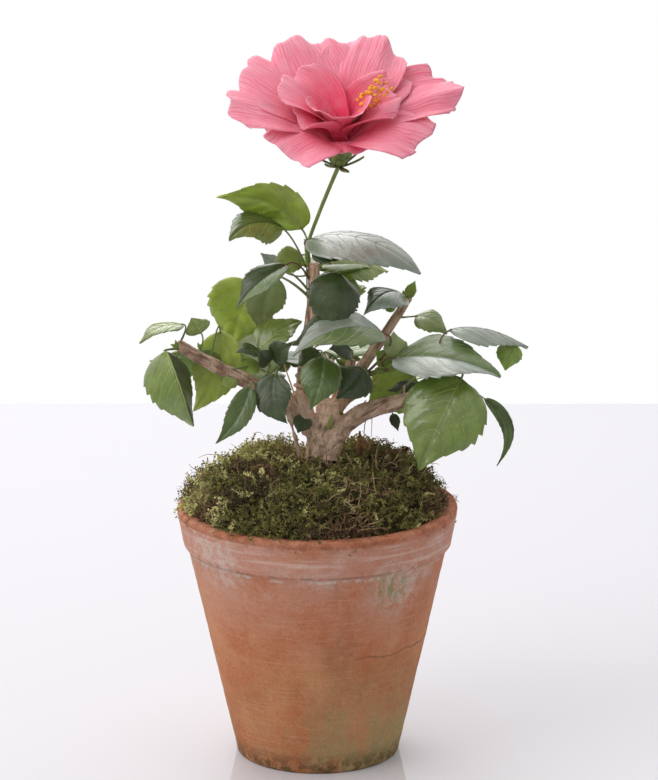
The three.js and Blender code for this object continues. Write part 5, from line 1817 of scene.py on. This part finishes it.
# Each petal: azimuth round the bloom's axis in degrees (0 right, 90 back), reach in mm, its rise
# over the bloom's plane at the claw, the middle and the edge in degrees, half its width in mm, how
# far its sides lift as a share, the size of its ruffles in mm, their number and start, and how far
# it wraps round the axis as a share.
PETALS = (
    ("back_left", 113, 67, (60, 34, 10), 23, 0.10, 3.2, 1.3, 0.4, 0),
    ("back_right", 70, 67, (60, 34, 8), 23, 0.14, 3.6, 1.5, 1.9, 0),
    ("far_left", 146, 68, (54, 32, 2), 24, 0.10, 4.0, 1.6, 1.4, 0),
    ("left", 172, 67, (50, 28, 0), 21, 0.14, 4.6, 1.8, 0.9, 0),
    ("left_low", 214, 47, (58, 32, -32), 26, 0.06, 3.4, 1.7, 2.7, 0),
    ("right", 18, 73, (46, 24, -6), 21, 0.20, 4.6, 1.8, 2.0, 0),
    ("right_back", 46, 56, (56, 34, 8), 17, 0.10, 2.4, 1.3, 0.7, 0),
    ("right_low", -21, 58, (54, 30, -26), 25, 0.10, 4.2, 1.7, 0.2, 0),
    ("front", -88, 27, (62, 42, -24), 16, 0.10, 2.4, 1.8, 1.2, 0.3),
    ("inner_front", -93, 38, (78, 68, 36), 23, 0.80, 1.6, 1.4, 2.2, 0.4),
    ("inner_left", 152, 50, (76, 52, 10), 17, 0.60, 4.2, 1.5, 0.6, 0.3),
    ("inner_side", 194, 36, (76, 58, -4), 15, 0.55, 4.0, 1.5, 2.6, 0.5),
    ("inner_right", 10, 46, (74, 50, 8), 18, 0.45, 3.8, 1.8, 3.0, 0.4),
)
PETAL_ROWS, PETAL_COLUMNS = 38, 49
ANTHERS, BRACTS = 34, 8
GOLDEN_ANGLE = 2.399963  # turns each anther away from the ones below it


class HIBISCUS_OT_bloom(bpy.types.Operator):
    """Open the bloom: petals, column with anthers, calyx and bracts"""

    bl_idname = "hibiscus.bloom"
    bl_label = "Bloom"

    def execute(self, context):
        self.wanted = context.scene.hibiscus.bloom
        lean = self.wanted.lean
        self.across = np.array([1.0, 0, 0])
        self.up = np.array([0, -math.sin(lean), math.cos(lean)])
        self.back = np.cross(self.up, self.across)
        low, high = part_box("calyx")
        self.seat = np.array((low + high) / 2) + self.up * 4.5 * MM
        self.tree = planting_tree()
        self.petals()
        self.column()
        self.calyx()
        return {"FINISHED"}

    def local(self, x, y, z):
        """Points given across, backwards and up from the bloom's seat."""
        x, y, z = (np.asarray(v, float)[..., None] for v in (x, y, z))
        return self.seat + self.across * x + self.back * y + self.up * z

    def petals(self):
        heap = Heap()
        for seed, row in enumerate(PETALS, start=60):
            self.petal(heap, seed, *row[1:])
        self.throat(heap)
        mesh = heap.mesh("petals", [self.petal_finish()])
        show("petals", mesh, "petal", "bloom")

    def petal(self, heap, seed, azimuth, reach, rises, half, cup, ruffle, waves, start, wrap):
        """A fan-shaped petal: narrow claw, broad frilled end, fine furrows along it."""
        s = np.linspace(0.02, 1, PETAL_ROWS)[:, None]
        u = np.linspace(-1, 1, PETAL_COLUMNS)[None]
        rise = np.radians(np.interp(s, [0, 0.5, 1], rises))
        step = reach * MM / (PETAL_ROWS - 1)
        out = np.cumsum(np.cos(rise), 0) * step
        high = np.cumsum(np.sin(rise), 0) * step
        rim = 1 - 0.16 * np.abs(u) ** 4.2 + 0.035 * np.sin(4.2 * u + start)
        rim = rim + 0.028 * np.sin(9.5 * u + 2 * start) + 0.006 * np.sin(19 * u + 5 * start)
        width = half * MM * (0.28 + 0.8 * smooth(s, 0.0, 0.72)) * (1 - 0.05 * smooth(s, 0.85, 1))
        x = out * (1 + (rim - 1) * s**1.5)
        y = u * width
        turn = np.clip(y / (x + 2 * MM), -2.5, 2.5)
        x_round, y_round = (x + 2 * MM) * np.cos(turn), (x + 2 * MM) * np.sin(turn)
        frill = s**2.2 * (
            np.sin(math.pi * waves * u + start) * (0.35 + 0.65 * np.abs(u))
            + 0.3 * np.sin(math.pi * 2.3 * waves * u + 2.1 * start + 2 * s) * s**3
        ) + 0.09 * s**6 * np.sin(math.pi * 3.9 * waves * u + start)
        cupped = cup * half * MM * u**2 * (1.2 - 0.5 * s)
        where = np.stack(np.broadcast_arrays(u * 0.9, s * 0.25, 0 * s), -1).reshape(-1, 3)
        furrow = 0.3 * MM * lumps(where, 0.16, seed).reshape(PETAL_ROWS, -1)
        furrow = furrow + 0.08 * MM * lumps(where, 0.07, seed + 20).reshape(PETAL_ROWS, -1)
        lift = ruffle * MM * frill + cupped + furrow * smooth(s, 0.05, 0.3)
        tilt = rise + 0 * u
        surfaces = []
        for offset in (0.0, -self.wanted.thickness):
            inward = np.sin(tilt) * (lift + offset)
            flat = (x - inward, y)
            rolled = (x_round - inward * np.cos(turn), y_round - inward * np.sin(turn))
            along, aside = (a * (1 - wrap) + b * wrap for a, b in zip(flat, rolled))
            over = high * (1 + (rim - 1) * s**1.5) + np.cos(tilt) * (lift + offset)
            ahead = math.radians(azimuth)
            px = along * math.cos(ahead) - aside * math.sin(ahead)
            py = along * math.sin(ahead) + aside * math.cos(ahead)
            surfaces.append(self.local(px, py, over))
        heap.add_shell(*surfaces, chart(u * 0.5 + 0.5, s))

    def throat(self, heap):
        """A small closed funnel between the claws, so that the throat has no gaps."""
        rows, columns = 14, 48
        t = np.linspace(0, 1, rows)[:, None]
        a = np.linspace(0, 2 * math.pi, columns, endpoint=False)[None]
        z = (-2 + 14 * t) * MM + 0 * a
        surfaces = []
        for offset in (0.0, 0.6 * MM):
            radius = (1.4 + 3.4 * t**1.4) * MM + offset + 0.3 * MM * np.sin(5 * a) * t
            surfaces.append(self.local(radius * np.cos(a), radius * np.sin(a), z).reshape(-1, 3))
        faces, count = grid_faces(rows, columns, closed=True), rows * columns
        low = np.arange(columns)
        rims = [ring_faces(line, count) for line in (low, low[::-1] + (rows - 1) * columns)]
        heap.add(np.concatenate(surfaces), [faces[:, ::-1], faces + count, *rims],
                 np.tile(chart(a / (2 * math.pi), 0.2 * t), (2, 1)))

    def petal_finish(self):
        """Pink, deep in the throat and, as painted shade, over the hollows round it, pale at the edge,
        with darker veins fanning out.
        """
        wanted = self.wanted
        f = Finish("petal")
        u, s = f.surface()[:2]
        vein = f.streaks(f.times(u, 46.0), f.times(s, 2.6), 3.0, Roughness=0.6)
        f.base = wanted.petal
        f.coat(wanted.heart, 0.8, f.ramp(s, 0.6, 0.15))
        # The deep pink round the throat is the bloom's own heart colour, carried out over the hollows
        # between the petals as painted shade.
        f.coat(wanted.heart, 0.8, f.near(self.seat + self.up * 10 * MM, 42 * MM, 0.35))
        f.coat(wanted.edge, 0.4, f.ramp(s, 0.84, 1.0))
        f.coat(wanted.edge, 0.3, f.ramp(f.noise(12 * MM, 2.0), 0.45, 0.7))
        f.coat(wanted.heart, 0.28, f.ramp(vein, 0.5, 0.64))
        sway = f.streaks(f.times(u, 5.0), f.times(s, 3.5), 2.0)
        fan = f.sum("FRACT", f.sum("ADD", f.times(u, 30.0), f.times(sway, 3.6)), 0.0)
        line = f.ramp(f.sum("ABSOLUTE", f.sum("SUBTRACT", fan, 0.5), 0.0), 0.26, 0.47)
        line = f.times(line, f.ramp(vein, 0.28, 0.52))
        f.coat(wanted.heart, 0.36, line)
        f.bump(f.sum("SUBTRACT", vein, f.times(line, 0.6)), 0.3 * MM, 0.8)
        return f.set(f.base, 0.6, specular=0.2, sheen=0.15, subsurface=0.2, depth=0.8 * MM,
                     radius=(1.0, 0.6, 0.65))

    def column(self):
        """The column leans out to the right, hung with anthers on short threads."""
        rng = np.random.default_rng(9)
        t = np.linspace(0, 1, 16)
        x, y, z = 24 * MM * t**1.2, 5 * MM * t, 43 * MM * t - 3 * MM * t**2
        path = self.local(x, y, z)
        heap = Heap()
        heap.add(*tube(path, np.linspace(1.5, 0.8, 16) * MM))
        for k in range(5):
            a = k * 2 * math.pi / 5
            way = unit(self.across * 0.7 + self.up + self.across * math.cos(a) * 0.9
                       + self.back * math.sin(a) * 0.9)
            heap.add(*tube(bent(path[-1], path[-1] + way * 6 * MM, 0.6 * MM, self.up),
                           0.28 * MM, sides=6))
        threads, spots, ways, sizes = Heap(), [], [], []
        tangent = unit(path[-1] - path[6])
        side = unit(np.cross(tangent, self.up + 0.2))
        for k in range(ANTHERS):
            share_up = 0.55 + 0.43 * k / (ANTHERS - 1)
            root = np.array([np.interp(share_up, t, path[:, i]) for i in range(3)])
            a = k * GOLDEN_ANGLE
            out = unit(side * math.cos(a) + np.cross(tangent, side) * math.sin(a)
                       + tangent * rng.uniform(0.1, 0.7))
            end = root + out * rng.uniform(3.8, 6.6) * MM
            threads.add(*tube(bent(root, end, 0.5 * MM, self.up, 5), 0.16 * MM, sides=5))
            spots.append(end)
            ways.append(out)
            sizes.append(rng.uniform(1.15, 1.6) * MM)
        for name, parts in (("stamen_column", heap), ("filaments", threads)):
            finish = self.plain(name.replace("_", " "), self.wanted.filament)
            show(name, parts.mesh(name, [finish]), "petal")
        anthers = plant("anthers", self.tree, self.anther(), spots, ways, sizes,
                        self.plain("anthers", self.wanted.anther, 0.8))
        show("anthers", anthers, "petal")

    def anther(self):
        """A kidney-shaped anther about two units wide."""
        work = bmesh.new()
        bmesh.ops.create_icosphere(work, subdivisions=2, radius=1.0)
        for vertex in work.verts:
            x, y, z = vertex.co
            vertex.co = (x * 1.15, y * 0.75, z * 0.7 - 0.35 * x * x)
        return bpy.data.objects.new("anther", written("anther", work))

    def plain(self, name, tint, roughness=0.5):
        return mottled(name, tint, shaded(tint, 0.75), 2 * MM, 0.7,
                       (0.4 * MM, 2.0, 0.55, 0.1 * MM, 1.0), roughness, specular=0.3,
                       subsurface=0.1, depth=0.8 * MM)

    def calyx(self):
        """A ribbed green cup with five points, over a ring of narrow bracts."""
        finish = mottled("calyx", self.wanted.calyx, "55662F", 3 * MM, 0.7,
                         (0.8 * MM, 3.0, 0.55, 0.15 * MM, 1.0), 0.55, specular=0.35,
                         subsurface=0.1, depth=0.8 * MM)
        rows, columns = 22, 60
        t = np.linspace(0, 1, rows)[:, None]
        a = np.linspace(0, 2 * math.pi, columns, endpoint=False)[None]
        point = 0.5 + 0.5 * np.cos(5 * a + 0.6)
        radius = (2.2 + 5.0 * np.sin(np.clip(t * 1.3, 0, 1) * math.pi / 2) ** 1.1) * MM
        radius = radius * (1 + 0.05 * np.cos(10 * a)) + 1.4 * MM * smooth(t, 0.75, 1) * point
        tall = (14 + 5.5 * smooth(t, 0.6, 1) * point) * MM * t
        sides = [self.local(r * np.cos(a), r * np.sin(a), tall - 13 * MM).reshape(-1, 3)
                 for r in (radius, radius - 0.5 * MM)]
        faces, count = grid_faces(rows, columns, closed=True), rows * columns
        rim = ring_faces(np.arange(columns) + (rows - 1) * columns, count)
        bottom = np.arange(columns)[None, ::-1]
        heap = Heap()
        heap.add(np.concatenate(sides),
                 [faces, faces[:, ::-1] + count, rim, bottom, bottom[:, ::-1] + count])
        show("calyx_cup", heap.mesh("calyx_cup", [finish]), "green_shoot", "calyx")
        spots, ways, sizes = [], [], []
        rng = np.random.default_rng(4)
        for k in range(BRACTS):
            a = (k + 0.35) / BRACTS * 2 * math.pi
            spots.append(self.local(2.4 * MM * math.cos(a), 2.4 * MM * math.sin(a), -12 * MM))
            ways.append(unit(self.across * math.cos(a) + self.back * math.sin(a)
                             + self.up * rng.uniform(0.2, 0.7)))
            sizes.append(rng.uniform(15, 20) * MM)
        bracts = plant("bracts", self.tree, self.bract(), spots, ways, sizes, finish)
        show("bracts", bracts, "green_shoot")

    def bract(self):
        """A narrow pointed bract one unit long, closed and slightly curved."""
        rows, columns = 12, 7
        t = np.linspace(0, 1, rows)[:, None]
        u = np.linspace(-1, 1, columns)[None]
        width = 0.095 * np.sin(math.pi * np.clip(t * 0.85 + 0.13, 0, 1)) ** 0.8 * (1 - t**6)
        width = np.maximum(width, 0.004)
        x = u * width
        y = 0.10 * t**2 - 0.018 * u**2
        sides = [np.stack(np.broadcast_arrays(x, deep, t), -1).reshape(-1, 3)
                 for deep in (y, y + 0.05)]
        heap = Heap()
        heap.add(np.concatenate(sides), shell_faces(rows, columns))
        return bpy.data.objects.new("bract", heap.mesh("bract", []))


# ------------------------------------------------------------------ add-on


class HIBISCUS_PT_panel(bpy.types.Panel):
    """Sizes, colours and builders of the potted hibiscus"""

    bl_idname = "HIBISCUS_PT_panel"
    bl_label = "Potted Hibiscus"
    bl_space_type = "VIEW_3D"
    bl_region_type = "UI"
    bl_category = "Hibiscus"

    def draw(self, context):
        for operator in OPERATORS:
            box = self.layout.box()
            box.operator(operator.bl_idname)
            group = GROUPS[operator.bl_idname]
            settings = getattr(context.scene.hibiscus, group)
            for name in settings.__annotations__:
                box.prop(settings, name)


OPERATORS = (HIBISCUS_OT_stage, HIBISCUS_OT_pot, HIBISCUS_OT_moss, HIBISCUS_OT_wood,
             HIBISCUS_OT_leaves, HIBISCUS_OT_bloom)
GROUPS = {"hibiscus.stage": "stage", "hibiscus.pot": "pot", "hibiscus.moss": "moss",
          "hibiscus.wood": "bark", "hibiscus.leaves": "leaf", "hibiscus.bloom": "bloom"}
CLASSES = (PotSettings, MossSettings, BarkSettings, LeafSettings, BloomSettings, StageSettings,
           HibiscusSettings, *OPERATORS, HIBISCUS_PT_panel)


def register():
    for cls in CLASSES:
        bpy.utils.register_class(cls)
    bpy.types.Scene.hibiscus = bpy.props.PointerProperty(type=HibiscusSettings)


def unregister():
    del bpy.types.Scene.hibiscus
    for cls in reversed(CLASSES):
        bpy.utils.unregister_class(cls)


def main():
    register()
    for operator in OPERATORS:
        group, name = operator.bl_idname.split(".")
        getattr(getattr(bpy.ops, group), name)()
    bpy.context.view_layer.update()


if __name__ == "__main__":
    main()
